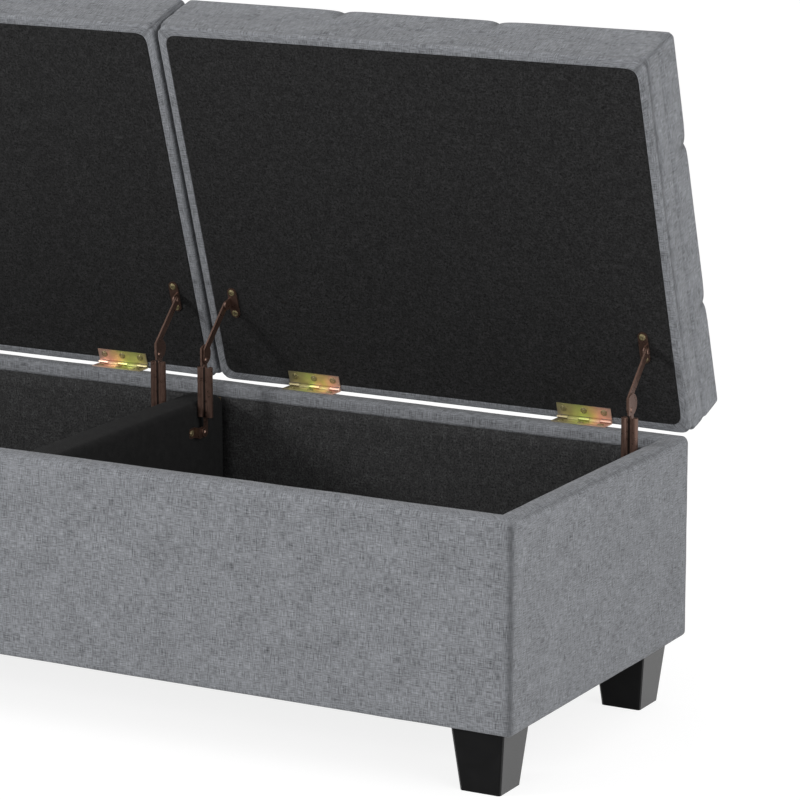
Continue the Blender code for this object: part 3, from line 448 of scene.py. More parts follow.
@dataclass(frozen=True)
class HeatherLinen(Finish):
    """Grey furnishing cloth of slubbed yarn in crossing lighter and darker streaks, with painted shade
    between its threads and in its seams, creases and pleats.
    """

    pitch: float = 0.0008
    slub_length: float = 0.011
    slub_width: float = 0.0007
    slub_tone: float = 0.18
    streak_tone: float = 0.45
    cloud_tone: float = 0.1
    thread_painted_shade: float = 0.04
    contrast: float = 0.9
    relief: float = 0.0002
    painted_seam_darkness: float = 0.3

    def lay(self, graph: Graph) -> dict[str, Feed]:
        """Mix warp and weft streaks into the colour and raise the threads.

        Args:
            graph: The material's nodes.

        Returns:
            What the shader takes.
        """
        weave = Effects.place(
            graph,
            Effect.WEAVE,
            vector=graph.add("ShaderNodeUVMap", uv_map=CLOTH_MAP).outputs[0],
            pitch=self.pitch,
            slub_length=self.slub_length,
            slub_width=self.slub_width,
        )
        streak = graph.sum("ADD", weave["Warp"], weave["Weft"])
        cloud = graph.times(weave["Cloud"], self.cloud_tone)
        tone = graph.sum("ADD", graph.times(streak, self.streak_tone), cloud)
        # painted shade of the weave's relief: sunk threads darker, raised ones lighter
        thread = graph.spread(weave["Height"], 0.0, 1.0, -self.thread_painted_shade, self.thread_painted_shade)
        tone = graph.sum("ADD", tone, thread)
        tone = graph.sum("SUBTRACT", tone, graph.times(weave["Slub"], self.slub_tone))
        colour = self.mottled(graph, tone, 1.0 - self.contrast, 1.0 + self.contrast)
        height = graph.sum("ADD", weave["Height"], graph.times(streak, 0.5))
        return {
            # painted shade: darker where the point attribute marks a seam, crease or pleat
            "Base Color": graph.tint(self.painted_shade_map(graph), colour, self.shade(self.painted_seam_darkness)),
            "Roughness": self.rough(graph, tone, 0.06, -0.06, (0.2, 0.8)),
            "Normal": graph.bump(height, 0.4, self.relief),
            "Sheen Weight": 0.12,
            "Sheen Roughness": 0.45,
            "Specular IOR Level": 0.25,
        }


@dataclass(frozen=True)
class NeedleFelt(Finish):
    """Black needle-punched felt with paler specks and hairs."""

    speck_size: float = 0.0024
    hair_length: float = 0.009
    contrast: float = 0.95
    hair_light: float = 3.2
    thin_shade: float = 0.55

    def lay(self, graph: Graph) -> dict[str, Feed]:
        """Speckle the colour and rough up the surface.

        Args:
            graph: The material's nodes.

        Returns:
            What the shader takes.
        """
        fibre = Effects.place(
            graph,
            Effect.FIBRE,
            vector=self.own_place(graph),
            speck_size=self.speck_size,
            hair_length=self.hair_length,
        )
        colour = self.mottled(graph, fibre["Speck"], 1.0 - self.contrast, 1.0 + self.contrast)
        hair = self.shade(1.0 + self.hair_light * self.contrast)
        colour = graph.tint(graph.times(fibre["Hair"], 0.5), colour, hair)
        thin = graph.times(fibre["Thin"], 0.5)
        height = graph.sum("ADD", fibre["Speck"], fibre["Hair"])
        return {
            "Base Color": graph.tint(thin, colour, self.shade(self.thin_shade)),
            "Roughness": self.rough(graph, fibre["Speck"], 0.0, -0.1),
            "Normal": graph.bump(height, 0.6, 0.0004),
            "Sheen Weight": 0.02,
            "Sheen Roughness": 0.6,
            "Specular IOR Level": 0.12,
        }


@dataclass(frozen=True)
class CutFoam(Finish):
    """Pale upholstery foam with open cells."""

    cell: float = 0.0018

    def lay(self, graph: Graph) -> dict[str, Feed]:
        """Pit the surface with cells, paint shade into the pits, and yellow it unevenly.

        Args:
            graph: The material's nodes.

        Returns:
            What the shader takes.
        """
        vector = self.own_place(graph)
        inputs = {"Vector": vector, "Scale": 1.0 / self.cell}
        cells = graph.add("ShaderNodeTexVoronoi", inputs).outputs["Distance"]
        aged = graph.spread(graph.noise(vector, 18.0, 3.0), 0.3, 0.7)
        # painted shade in the open cells' pits
        pit_painted_shade = graph.spread(cells, 0.1, 0.5, 0.6, 0.0)
        return {
            "Base Color": graph.tint(pit_painted_shade, self.mottled(graph, aged, 1.0, 0.82), self.shade(0.55)),
            "Roughness": self.rough(graph, aged, 0.0, -0.08),
            "Normal": graph.bump(cells, 0.5, 0.0006),
        }


@dataclass(frozen=True)
class PressedBoard(Finish):
    """Pressed particle board with flakes."""

    flake: float = 0.005

    def lay(self, graph: Graph) -> dict[str, Feed]:
        """Scatter flakes of several browns.

        Args:
            graph: The material's nodes.

        Returns:
            What the shader takes.
        """
        fibre = Effects.place(
            graph,
            Effect.FIBRE,
            vector=self.own_place(graph),
            speck_size=self.flake,
            hair_length=3.0 * self.flake,
        )
        colour = self.mottled(graph, fibre["Speck"], 0.6, 1.25)
        return {
            "Base Color": graph.tint(graph.times(fibre["Hair"], 0.5), colour, self.shade(0.45)),
            "Roughness": self.rough(graph, fibre["Thin"], 0.0, 0.15),
            "Normal": graph.bump(fibre["Speck"], 0.3, 0.0005),
        }


@dataclass(frozen=True)
class Metal(Finish):
    """A finish with the draw marks of hard, handled pieces, and their worn edges lightened, partly as a
    painted highlight.
    """

    def marks(self, graph: Graph, width: float, tint: float) -> bpy.types.bpy_prop_collection:
        """Draw marks of some width, with a tint that wanders over some length."""
        vector = self.own_place(graph)
        return Effects.place(graph, Effect.DRAWN, vector=vector, mark_width=width, tint_size=tint)

    def rub_and_highlight(self, graph: Graph, radius: float, grain: float, share: float) -> Socket:
        """Worn edges, lightened partly as a painted highlight.

        Args:
            graph: The material's nodes.
            radius: Width of the lightened edge.
            grain: How far a fine grain breaks it up.
            share: How far it is lightened at most.

        Returns:
            How far each place is lightened.
        """
        vector = self.own_place(graph)
        wear = Effects.place(graph, Effect.WEAR, vector=vector, radius=radius, grain=grain)
        return graph.times(wear["Edge"], share)


@dataclass(frozen=True)
class SatinLacquer(Metal):
    """Black satin lacquer on a moulded foot, a little lighter at its edges, partly worn and partly a
    painted highlight.
    """

    rubbed_and_highlit: float = 0.35

    def lay(self, graph: Graph) -> dict[str, Feed]:
        """Break up the gloss with fine orange peel and handling marks.

        Args:
            graph: The material's nodes.

        Returns:
            What the shader takes.
        """
        marks = self.marks(graph, 0.0012, 0.03)
        colour = self.mottled(graph, marks["Wander"], 0.85, 1.2)
        rub_and_highlight = self.rub_and_highlight(graph, 0.0015, 0.7, self.rubbed_and_highlit)
        facing = graph.add("ShaderNodeLayerWeight", {"Blend": 0.5}).outputs["Facing"]
        peel = graph.noise(self.own_place(graph), 900.0, 1.0)
        return {
            # edges lighter: partly worn lacquer, partly a painted highlight
            "Base Color": graph.tint(rub_and_highlight, colour, self.shade(4.0)),
            "Roughness": self.rough(graph, marks["Smudge"], -0.05, 0.08),
            "Normal": graph.bump(peel, 0.12, 0.0002),
            "Coat Weight": graph.spread(facing, 0.2, 0.5, 0.0, 0.85),
            "Coat Roughness": 0.22,
            "Specular IOR Level": 0.05,
        }


@dataclass(frozen=True)
class PassivatedZinc(Metal):
    """Yellow passivated zinc, which drifts through gold, green and rose."""

    drift: float = 0.03
    shades: tuple[tuple[float, Colour], ...] = (
        (0.0, (0.38, 0.32, 0.21)),
        (0.2, (0.48, 0.45, 0.20)),
        (0.4, (0.56, 0.63, 0.20)),
        (0.58, (0.78, 0.58, 0.27)),
        (0.78, (0.80, 0.47, 0.36)),
        (1.0, (0.68, 0.46, 0.38)),
    )

    def lay(self, graph: Graph) -> dict[str, Feed]:
        """Drift the tint along the plate, mirrored on the left half, and brush it lightly.

        Args:
            graph: The material's nodes.

        Returns:
            What the shader takes.
        """
        marks = self.marks(graph, 0.0009, self.drift)
        along = graph.split(graph.add("ShaderNodeTexCoord").outputs["Generated"])[0]
        half = graph.sum("SIGN", graph.split(self.own_place(graph))[0])
        along = graph.sum("ADD", 0.5, graph.times(half, graph.sum("SUBTRACT", along, 0.5)))
        wander = graph.spread(marks["Wander"], 0.0, 1.0, -0.16, 0.16)
        colour = graph.ramp(graph.sum("ADD", along, wander), self.shades)
        return {
            "Base Color": graph.tint(graph.times(marks["Smudge"], 0.2), colour, self.shade(1.0)),
            "Roughness": self.rough(graph, marks["Smudge"], -0.08, 0.12),
            "Normal": graph.bump(marks["Mark"], 0.08, 0.0002),
            "Metallic": 0.6,
        }


@dataclass(frozen=True)
class BronzedSteel(Metal):
    """Bronze-brown plated steel, coppery at its edges, partly worn and partly a painted highlight, with
    painted shade in its slits.
    """

    copper_and_highlight: Colour = (0.42, 0.27, 0.20)
    rubbed_and_highlit: float = 0.5
    slit_painted_shade: float = 0.12

    def lay(self, graph: Graph) -> dict[str, Feed]:
        """Streak the plating along its draw marks, lighten its edges, partly as a painted highlight,
        and paint shade into its slits.

        Args:
            graph: The material's nodes.

        Returns:
            What the shader takes.
        """
        marks = self.marks(graph, 0.0011, 0.02)
        colour = self.mottled(graph, graph.spread(marks["Mark"], 0.3, 0.7), 0.93, 1.08)
        colour = graph.tint(graph.times(marks["Wander"], 0.35), colour, self.shade(0.75))
        rub_and_highlight = self.rub_and_highlight(graph, 0.0005, 0.5, self.rubbed_and_highlit)
        # coppery edges: partly worn plating, partly a painted highlight
        colour = graph.tint(rub_and_highlight, colour, (*self.copper_and_highlight, 1.0))
        return {
            # painted shade in the slit between the barrels
            "Base Color": graph.tint(self.painted_shade_map(graph), colour, self.shade(self.slit_painted_shade)),
            "Roughness": self.rough(graph, marks["Smudge"], -0.08, 0.1),
            "Normal": graph.bump(marks["Mark"], 0.06, 0.0002),
            "Metallic": 0.7,
        }


@dataclass(frozen=True)
class BrightPlate(Metal):
    """Bright plated steel of hidden bolts."""

    def lay(self, graph: Graph) -> dict[str, Feed]:
        """Brush the plating.

        Args:
            graph: The material's nodes.

        Returns:
            What the shader takes.
        """
        marks = self.marks(graph, 0.0006, 0.02)
        return {
            "Base Color": self.mottled(graph, marks["Smudge"], 1.05, 0.8),
            "Roughness": self.rough(graph, marks["Mark"], -0.06, 0.1, (0.3, 0.7)),
            "Metallic": 1.0,
        }


GREY_LINEN = HeatherLinen("heather_linen", (0.232, 0.240, 0.256), 0.86)
LID_FELT = NeedleFelt("needle_felt", (0.0205, 0.0205, 0.0208), 0.95)
# the same felt as the lids', painted twice as light: painted light inside the bins
BIN_FELT_PAINTED_LIGHTER = NeedleFelt("bin_felt", (0.041, 0.041, 0.0415), 0.95)
DIVIDER_FELT = NeedleFelt(
    "smooth_felt", (0.020, 0.020, 0.0202), 0.9, speck_size=0.0011, contrast=0.25
)
PALE_FOAM = CutFoam("cut_foam", (0.80, 0.76, 0.62), 0.95)
FLAKE_BOARD = PressedBoard("pressed_board", (0.50, 0.37, 0.23), 0.75)
SATIN_BLACK = SatinLacquer("satin_lacquer", (0.0095, 0.0095, 0.0098), 0.5)
YELLOW_ZINC = PassivatedZinc("passivated_zinc", (0.62, 0.49, 0.25), 0.36)
# darker copy of the zinc for the screw heads: painted shade for their shade and dark reflections
ZINC_PAINTED_DARKER_SHADES = ((0.0, (0.30, 0.27, 0.13)), (1.0, (0.36, 0.30, 0.17)))
ZINC_PAINTED_DARKER = PassivatedZinc("zinc_painted_darker", (0.30, 0.26, 0.14), 0.3, shades=ZINC_PAINTED_DARKER_SHADES)
BRONZE = BronzedSteel("bronzed_steel", (0.158, 0.094, 0.073), 0.34)
BRIGHT_STEEL = BrightPlate("bright_plate", (0.56, 0.57, 0.58), 0.3)


def arc(centre: Spot, radius: float, start: float, end: float, steps: int) -> list[Spot]:
    """Points along an arc.

    Args:
        centre: Middle of the arc.
        radius: Its radius.
        start: First angle in degrees.
        end: Last angle in degrees.
        steps: Number of steps between them.

    Returns:
        The points, both ends included.
    """
    points = []
    for step in range(steps + 1):
        turn = math.radians(start + (end - start) * step / steps)
        points.append((centre[0] + radius * math.cos(turn), centre[1] + radius * math.sin(turn)))
    return points


def between(start: Spot, end: Spot, steps: int) -> list[Spot]:
    """Points inside a straight run, without its ends."""
    shares = [step / steps for step in range(1, steps)]
    return [(start[0] + (end[0] - start[0]) * s, start[1] + (end[1] - start[1]) * s) for s in shares]


def bands(rings: int, count: int, closed: bool = True, first: int = 0) -> list[tuple[int, ...]]:
    """Faces between rows of points that follow one another.

    Args:
        rings: Number of rows.
        count: Points in a row.
        closed: Whether the last point of a row joins its first one.
        first: Number of the first point.

    Returns:
        The faces, row by row.
    """
    faces = []
    for low in range(first, first + (rings - 1) * count, count):
        for step in range(count if closed else count - 1):
            after = (step + 1) % count
            faces.append((low + step, low + after, low + count + after, low + count + step))
    return faces


def run_lengths(points: Sequence[Sequence[float]]) -> np.ndarray:
    """Distance along a line of points, at each of them."""
    steps = np.linalg.norm(np.diff(np.array(points, float), axis=0), axis=1)
    return np.concatenate([[0.0], np.cumsum(steps)])


def bell(gap: float | np.ndarray, width: float) -> float | np.ndarray:
    """1 where a gap is nothing, falling to 0 beyond a width."""
    return np.exp(-((gap / width) ** 2))


def ripple(point: Sequence[float], size: float, seed: float = 0.0) -> float:
    """Smooth noise from -1 to 1 over features of a size."""
    return noise.noise(Vector(point) / size + Vector((seed, 0.0, seed)))


def surface(
    name: str, vertices: Iterable, faces: Iterable, uvs: Sequence[Sequence[Spot]] | None = None
) -> bpy.types.Object:
    """Smooth-shaded mesh object in the scene.

    Args:
        name: Name of the piece.
        vertices: Points.
        faces: Vertex numbers of each face.
        uvs: Cloth coordinates of each face's corners, in metres.

    Returns:
        The object.
    """
    mesh = bpy.data.meshes.new(name)
    points = [tuple(map(float, point)) for point in vertices]
    mesh.from_pydata(points, [], [tuple(face) for face in faces])
    if uvs is not None:
        layer = mesh.uv_layers.new(name=CLOTH_MAP)
        flat = np.array([corner for face in uvs for corner in face], np.float32)
        layer.data.foreach_set("uv", flat.ravel())
    mesh.polygons.foreach_set("use_smooth", [True] * len(mesh.polygons))
    mesh.update()
    piece = bpy.data.objects.new(name, mesh)
    bpy.context.scene.collection.objects.link(piece)
    return piece


def lattice(
    name: str, points: np.ndarray, across: Sequence[float], along: Sequence[float], closed: bool
) -> bpy.types.Object:
    """Sheet through a grid of points, with cloth coordinates.

    Args:
        name: Name of the piece.
        points: Grid of points, rows by columns.
        across: Cloth coordinate of each row.
        along: Cloth coordinate of each column, and of the first one again for a closed sheet.
        closed: Whether the last column joins the first.

    Returns:
        The object.
    """
    rows, columns = points.shape[:2]
    uvs = []
    for low, high in zip(across, across[1:]):
        for left, right in zip(along, along[1:]):
            uvs.append(((left, low), (right, low), (right, high), (left, high)))
    return surface(name, points.reshape(-1, 3), bands(rows, columns, closed), uvs)


def note_painted_shade(piece: bpy.types.Object, depths: Sequence[float]) -> None:
    """Note on each point of a piece how dark it is painted, from 0 to 1, for the shade of its seams,
    creases, pleats and slits.
    """
    layer = piece.data.attributes.new(PAINTED_SHADE_MAP, "FLOAT", "POINT")
    layer.data.foreach_set("value", np.asarray(depths, np.float32))


def ring_normals(points: np.ndarray) -> np.ndarray:
    """Unit normals of a grid of points whose last column joins the first.

    Args:
        points: Grid of points, rows by columns.

    Returns:
        Grid of normals.
    """
    along = np.roll(points, -1, axis=1) - np.roll(points, 1, axis=1)
    normals = np.cross(along, np.gradient(points, axis=0))
    return normals / np.maximum(np.linalg.norm(normals, axis=2, keepdims=True), 1e-12)


def thicken(piece: bpy.types.Object, thickness: float) -> None:
    """Give a sheet its thickness behind the side that shows."""
    modifier = piece.modifiers.new("thickness", "SOLIDIFY")
    modifier.thickness, modifier.offset = thickness, -1.0


def soften(piece: bpy.types.Object, width: float) -> None:
    """Break the sharp edges of a hard piece.

    Args:
        piece: The piece.
        width: Width of the broken edge.
    """
    modifier = piece.modifiers.new("broken_edges", "BEVEL")
    modifier.width = width
    modifier.segments = 2
    modifier.limit_method = "ANGLE"
    modifier.angle_limit = math.radians(38.0)
    modifier.harden_normals = True
    modifier.use_clamp_overlap = True


def settle(
    piece: bpy.types.Object, finish: Finish, body: str, nodes: Sequence[str] = ()
) -> bpy.types.Object:
    """Dress a piece and fix it to the frame.

    Args:
        piece: The piece, in place.
        finish: Its finish.
        body: Body that it moves with.
        nodes: Solids that it stands for.

    Returns:
        The piece.
    """
    piece.data.materials.append(finish.material())
    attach(piece, body)
    if nodes:
        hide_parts(*nodes)
    LOG.info("%s on %s: %d points", piece.name, body, len(piece.data.vertices))
    return piece


@dataclass(frozen=True)
class BenchSizes:
    """Sizes of the solids that several sub-assemblies share."""

    half_length: float = 0.635
    half_depth: float = 0.22625
    centre_y: float = -0.03944
    box_bottom: float = 0.0755
    rim_top: float = 0.3145
    rim_width: float = 0.0261
    skirt_edge: float = 0.2982
    wrap_radius: float = 0.0059
    outer_radius: float = 0.010
    inner_radius: float = 0.006
    lining_inner: float = 0.0257
    bin_felt: float = 0.0012
    bin_floor: float = 0.0897
    divider_half: float = 0.0203
    hinge_y: float = 0.18781
    hinge_z: float = 0.3172
    inner_hinge: float = 0.137
    outer_hinge: float = 0.499
    stay_pivot: Spot = (0.10381, 0.267)
    lid_centre: float = 0.318
    open_angle: float = math.radians(72.5)
    seat: float = 0.0003

    def opened(self, side: Side) -> Matrix:
        """Turns a lid drawn shut about its hinge line into its open place."""
        shift = Matrix.Translation((side.value * self.lid_centre, self.hinge_y, self.hinge_z))
        return shift @ Matrix.Rotation(-self.open_angle, 4, "X")

    def hinge_centre(self, side: Side, place: Place) -> float:
        """X of the middle of a hinge."""
        return side.value * (self.inner_hinge if place is Place.INNER else self.outer_hinge)

    def stay_wall(self, side: Side, place: Place) -> tuple[float, int]:
        """X of the wall behind a stay, and the way from it into the bin.

        Args:
            side: Half of the bench.
            place: Which stay of that half.

        Returns:
            The wall's X and the sign of the way.
        """
        if place is Place.INNER:
            return side.value * self.divider_half, side.value
        return side.value * (self.half_length - self.lining_inner), -side.value


BENCH = BenchSizes()


@dataclass
class RingSweep:
    """Closed band round the box, from a profile of (inset, height)."""

    profile: list[Spot]
    long_steps: int = 84
    short_steps: int = 34
    corner_steps: int = 10
    least_radius: float = 0.0005
    near_corner: tuple[float, ...] = (0.0, 0.0015, 0.003, 0.005)

    def side_run(self, half: float, steps: int) -> np.ndarray:
        """Stations along one straight side, closer at its ends.

        Args:
            half: Half the length of the side.
            steps: Number of equal steps between the closer ones.

        Returns:
            The stations.
        """
        ends = np.array(self.near_corner)
        inner = half - 2 * ends[-1]
        evenly = np.linspace(-inner, inner, steps + 1)
        return np.concatenate([ends - half, evenly, half - ends[::-1]])

    def points(self) -> np.ndarray:
        """Grid of points.

        Returns:
            One row for each profile point, with columns anticlockwise round the box.
        """
        rows = []
        for inset, height in self.profile:
            radius = max(BENCH.wrap_radius - inset, self.least_radius)
            half_x = BENCH.half_length - inset - radius
            half_y = BENCH.half_depth - inset - radius
            row = [(x, -half_y - radius) for x in self.side_run(half_x, self.long_steps)]
            row += arc((half_x, -half_y), radius, -90, 0, self.corner_steps)[1:-1]
            row += [(half_x + radius, y) for y in self.side_run(half_y, self.short_steps)]
            row += arc((half_x, half_y), radius, 0, 90, self.corner_steps)[1:-1]
            row += [(-x, -y) for x, y in row]
            rows.append([(x, y + BENCH.centre_y, height) for x, y in row])
        return np.array(rows)

    @staticmethod
    def around(
        long: Iterable[float], corner: Iterable[float], short: Iterable[float]
    ) -> np.ndarray:
        """Values of a long side, a corner and a short side, put together round the box."""
        return np.array([*long, *corner, *short, *corner] * 2)

    def corner_gaps(self) -> np.ndarray:
        """Distance of each column from the middle of its corner, round the outside.

        Returns:
            A distance for each column.
        """
        radius = BENCH.wrap_radius
        turns = np.radians(np.linspace(-45, 45, self.corner_steps + 1))[1:-1]
        sides = []
        lengths = ((BENCH.half_length, self.long_steps), (BENCH.half_depth, self.short_steps))
        for half, steps in lengths:
            run = np.abs(self.side_run(half - radius, steps))
            sides.append(radius * math.pi / 4 + half - radius - run)
        return self.around(sides[0], radius * np.abs(turns), sides[1])

    def along_ends(self) -> np.ndarray:
        """1 along a short side, falling to 0 at its corners, and 0 on the long sides.

        Returns:
            A value for each column.
        """
        short = 1 - self.side_run(1.0, self.short_steps) ** 8
        long = np.zeros(self.long_steps + 1 + 2 * len(self.near_corner))
        return self.around(long, np.zeros(self.corner_steps - 1), short)


@dataclass
class BoxUpholstery:
    """Cloth and foam round the box: a hem under it, flat sides, a rolled rim and a skirt."""

    hem_width: float = 0.028
    cloth: float = 0.0016
    seam_depth: float = 0.0009
    seam_width: float = 0.0052
    seam_painted_shade: float = 0.62
    seam_end: float = 0.15
    crease_depth: float = 0.0012
    crease_width: float = 0.0028
    crease_painted_shade: float = 0.4
    waviness: float = 0.0005
    padding_inset: float = 0.0019
    board_inner: float = 0.0242
    board_drop: float = 0.0059
    dust_cloth: float = 0.0012
    dust_lift: float = 0.0002
    dust_sag: float = 0.00025

    def cover_profile(self) -> list[Spot]:
        """Section of the cloth.

        Returns:
            (Inset, height) from the hem's edge, up the outside and over the rim to the skirt's edge.
        """
        bottom, top = BENCH.box_bottom, BENCH.rim_top
        wrap, outer, inner = BENCH.wrap_radius, BENCH.outer_radius, BENCH.inner_radius
        start, edge = (self.hem_width, bottom), (BENCH.rim_width, BENCH.skirt_edge)
        profile = [start, *between(start, (wrap, bottom), 4)]
        profile += arc((wrap, bottom + wrap), wrap, 270, 180, 6)
        profile += between((0.0, bottom + wrap), (0.0, top - outer), 18)
        profile += arc((outer, top - outer), outer, 180, 90, 8)
        profile += between((outer, top), (BENCH.rim_width - inner, top), 3)
        profile += arc((BENCH.rim_width - inner, top - inner), inner, 90, 0, 6)
        profile += between((BENCH.rim_width, top - inner), edge, 4)
        return [*profile, edge]

    def seam_share(self, inset: float, height: float) -> float:
        """How far a corner seam shows at one place of the section: not under the box."""
        under = height < BENCH.box_bottom + SAME_PLACE
        return 0.0 if under else max(self.seam_end, 1 - inset / BENCH.wrap_radius)

    def build_cover(self) -> None:
        """Stretch the cloth over the box, with a sewn seam at each corner and a crease at each end, and
        painted shade along both.
        """
        profile = self.cover_profile()
        across = run_lengths(profile)
        sweep = RingSweep(profile)
        points = sweep.points()
        shares = [self.seam_share(*spot) for spot in profile]
        seams = np.outer(shares, bell(sweep.corner_gaps(), self.seam_width))
        fold = BENCH.outer_radius * (1 - math.sqrt(0.5))
        off_fold = np.array([math.dist(spot, (fold, BENCH.rim_top - fold)) for spot in profile])
        creases = np.outer(bell(off_fold, self.crease_width), sweep.along_ends())
        lift = -self.seam_depth * seams - self.crease_depth * creases
        for row, column in np.ndindex(lift.shape):
            place = points[row, column]
            broad = ripple(place * np.array((1.0, 1.0, 0.7)), 0.11)
            lift[row, column] += self.waviness * (broad + 0.5 * ripple(place, 0.04, 3.0))
        face = points[np.argmin([inset for inset, _ in profile])]
        along = run_lengths(np.vstack([face, face[:1]]))
        points = points + ring_normals(points) * lift[..., None]
        piece = lattice("box_cloth", points, across, along, True)
        # painted shade along the corner seams and the end creases
        note_painted_shade(piece, np.maximum(self.seam_painted_shade * seams, self.crease_painted_shade * creases).ravel())
        thicken(piece, self.cloth)
        settle(piece, GREY_LINEN, "base", ["base_cover"])

    def build_padding(self) -> None:
        """Thin foam between the boards and the cloth."""
        top, inset = BENCH.rim_top, self.padding_inset
        outer, inner = BENCH.outer_radius, BENCH.inner_radius
        wrap, bottom = BENCH.wrap_radius, BENCH.box_bottom
        board_top = top - self.board_drop
        profile = arc((wrap, bottom + wrap), wrap - inset, 270, 180, 3)
        profile += between((inset, bottom + wrap), (inset, top - outer), 6)
        profile += arc((outer, top - outer), outer - inset, 180, 90, 5)
        profile += arc((BENCH.rim_width - inner, top - inner), inner - inset, 90, 20, 3)
        profile += [(self.board_inner, board_top), (wrap, board_top)]
        profile += [(wrap, bottom + wrap), (wrap, bottom + inset)]
        points = RingSweep(profile, long_steps=40, short_steps=16).points()
        along = run_lengths(np.vstack([points[0], points[0][:1]]))
        piece = lattice("box_foam", points, run_lengths(profile), along, True)
        settle(piece, PALE_FOAM, "base", ["base_padding"])

    def build_dust_cover(self) -> None:
        """Black sheet stapled over the underside, inside the hem."""
        inset = self.hem_width + BENCH.seat
        half_x, half_y = BENCH.half_length - inset, BENCH.half_depth - inset
        columns, rows = np.linspace(-half_x, half_x, 64), np.linspace(half_y, -half_y, 24)
        points = np.zeros((len(rows), len(columns), 3))
        level = BENCH.box_bottom + self.dust_lift
        for row, column in np.ndindex(points.shape[:2]):
            x, y = columns[column], rows[row]
            sag = self.dust_sag * ripple((x, y, 0.0), 0.07)
            points[row, column] = (x, y + BENCH.centre_y, level + sag)
        piece = lattice("underside_cloth", points, rows, columns, False)
        thicken(piece, self.dust_cloth)
        settle(piece, DIVIDER_FELT, "base", ["dust_cover"])

    def build(self) -> None:
        """Make every soft layer of the box."""
        self.build_padding()
        self.build_cover()
        self.build_dust_cover()


@dataclass
class BinLining:
    """Felt that lines the floor, front, back and end of one bin."""

    side: Side
    felt: float = BENCH.bin_felt
    fold: float = 0.006
    waviness: float = 0.0005
    long_steps: int = 34
    short_steps: int = 24
    near: float = BENCH.divider_half + BENCH.seat
    far: float = BENCH.half_length - BENCH.lining_inner
    half: float = BENCH.half_depth - BENCH.lining_inner
    floor: float = BENCH.bin_floor + BENCH.bin_felt
    top: float = BENCH.skirt_edge - BENCH.seat

    def folded(self, name: str) -> bpy.types.Object:
        """Fold the felt into the right bin's form: three walls, then the floor.

        Args:
            name: Name of the piece.

        Returns:
            The felt, with its walls and its floor not yet joined.
        """
        half, fold, corner = self.half, self.fold, self.far - self.fold
        xs = np.linspace(self.near, corner, self.long_steps + 1)
        ys = np.linspace(-half + fold, half - fold, self.short_steps + 1)
        start = (0.0, self.top)
        profile = [start, *between(start, (0.0, self.floor + fold), 12)]
        profile += arc((fold, self.floor + fold), fold, 180, 270, 5)
        vertices = []
        for inset, height in profile:
            row = [(x, -half + inset) for x in xs]
            row += arc((corner, ys[0]), fold - inset, -90, 0, 5)[1:-1]
            row += [(self.far - inset, y) for y in ys]
            row += arc((corner, ys[-1]), fold - inset, 0, 90, 5)[1:-1]
            row += [(x, half - inset) for x in xs[::-1]]
            vertices += [(x, y, height) for x, y in row]
        faces = bands(len(profile), len(row), False)
        faces += bands(len(ys), len(xs), False, len(vertices))
        vertices += [(x, y, self.floor) for y in ys for x in xs]
        return surface(name, vertices, faces)

    def build(self) -> None:
        """Fold the felt into the bin, join its parts and let it lie a little unevenly."""
        word = self.side.word
        piece = self.folded(f"{word}_bin_felt")
        shape = bmesh.new()
        shape.from_mesh(piece.data)
        bmesh.ops.remove_doubles(shape, verts=shape.verts, dist=SAME_PLACE)
        bmesh.ops.dissolve_degenerate(shape, dist=SAME_PLACE / 2, edges=shape.edges)
        shape.normal_update()
        moves = []
        for vert in shape.verts:
            wave = 0.5 + 0.5 * ripple(vert.co, 0.09, self.side.value)
            moves.append((vert, vert.normal * (self.waviness * wave)))
        for vert, move in moves:
            vert.co += move
        bmesh.ops.scale(shape, vec=(self.side.value, 1.0, 1.0), verts=shape.verts)
        bmesh.ops.translate(shape, vec=(0.0, BENCH.centre_y, 0.0), verts=shape.verts)
        self.face_inward(shape)
        shape.to_mesh(piece.data)
        shape.free()
        thicken(piece, self.felt)
        settle(piece, BIN_FELT_PAINTED_LIGHTER, "base", [f"{word}_bin_lining"])

    @staticmethod
    def face_inward(shape: bmesh.types.BMesh) -> None:
        """Turn every face of the lining towards the inside of the bin.

        Args:
            shape: The lining.
        """
        shape.normal_update()
        lowest = min(shape.faces, key=lambda face: face.calc_center_median().z)
        if lowest.normal.z < 0:
            bmesh.ops.reverse_faces(shape, faces=shape.faces)


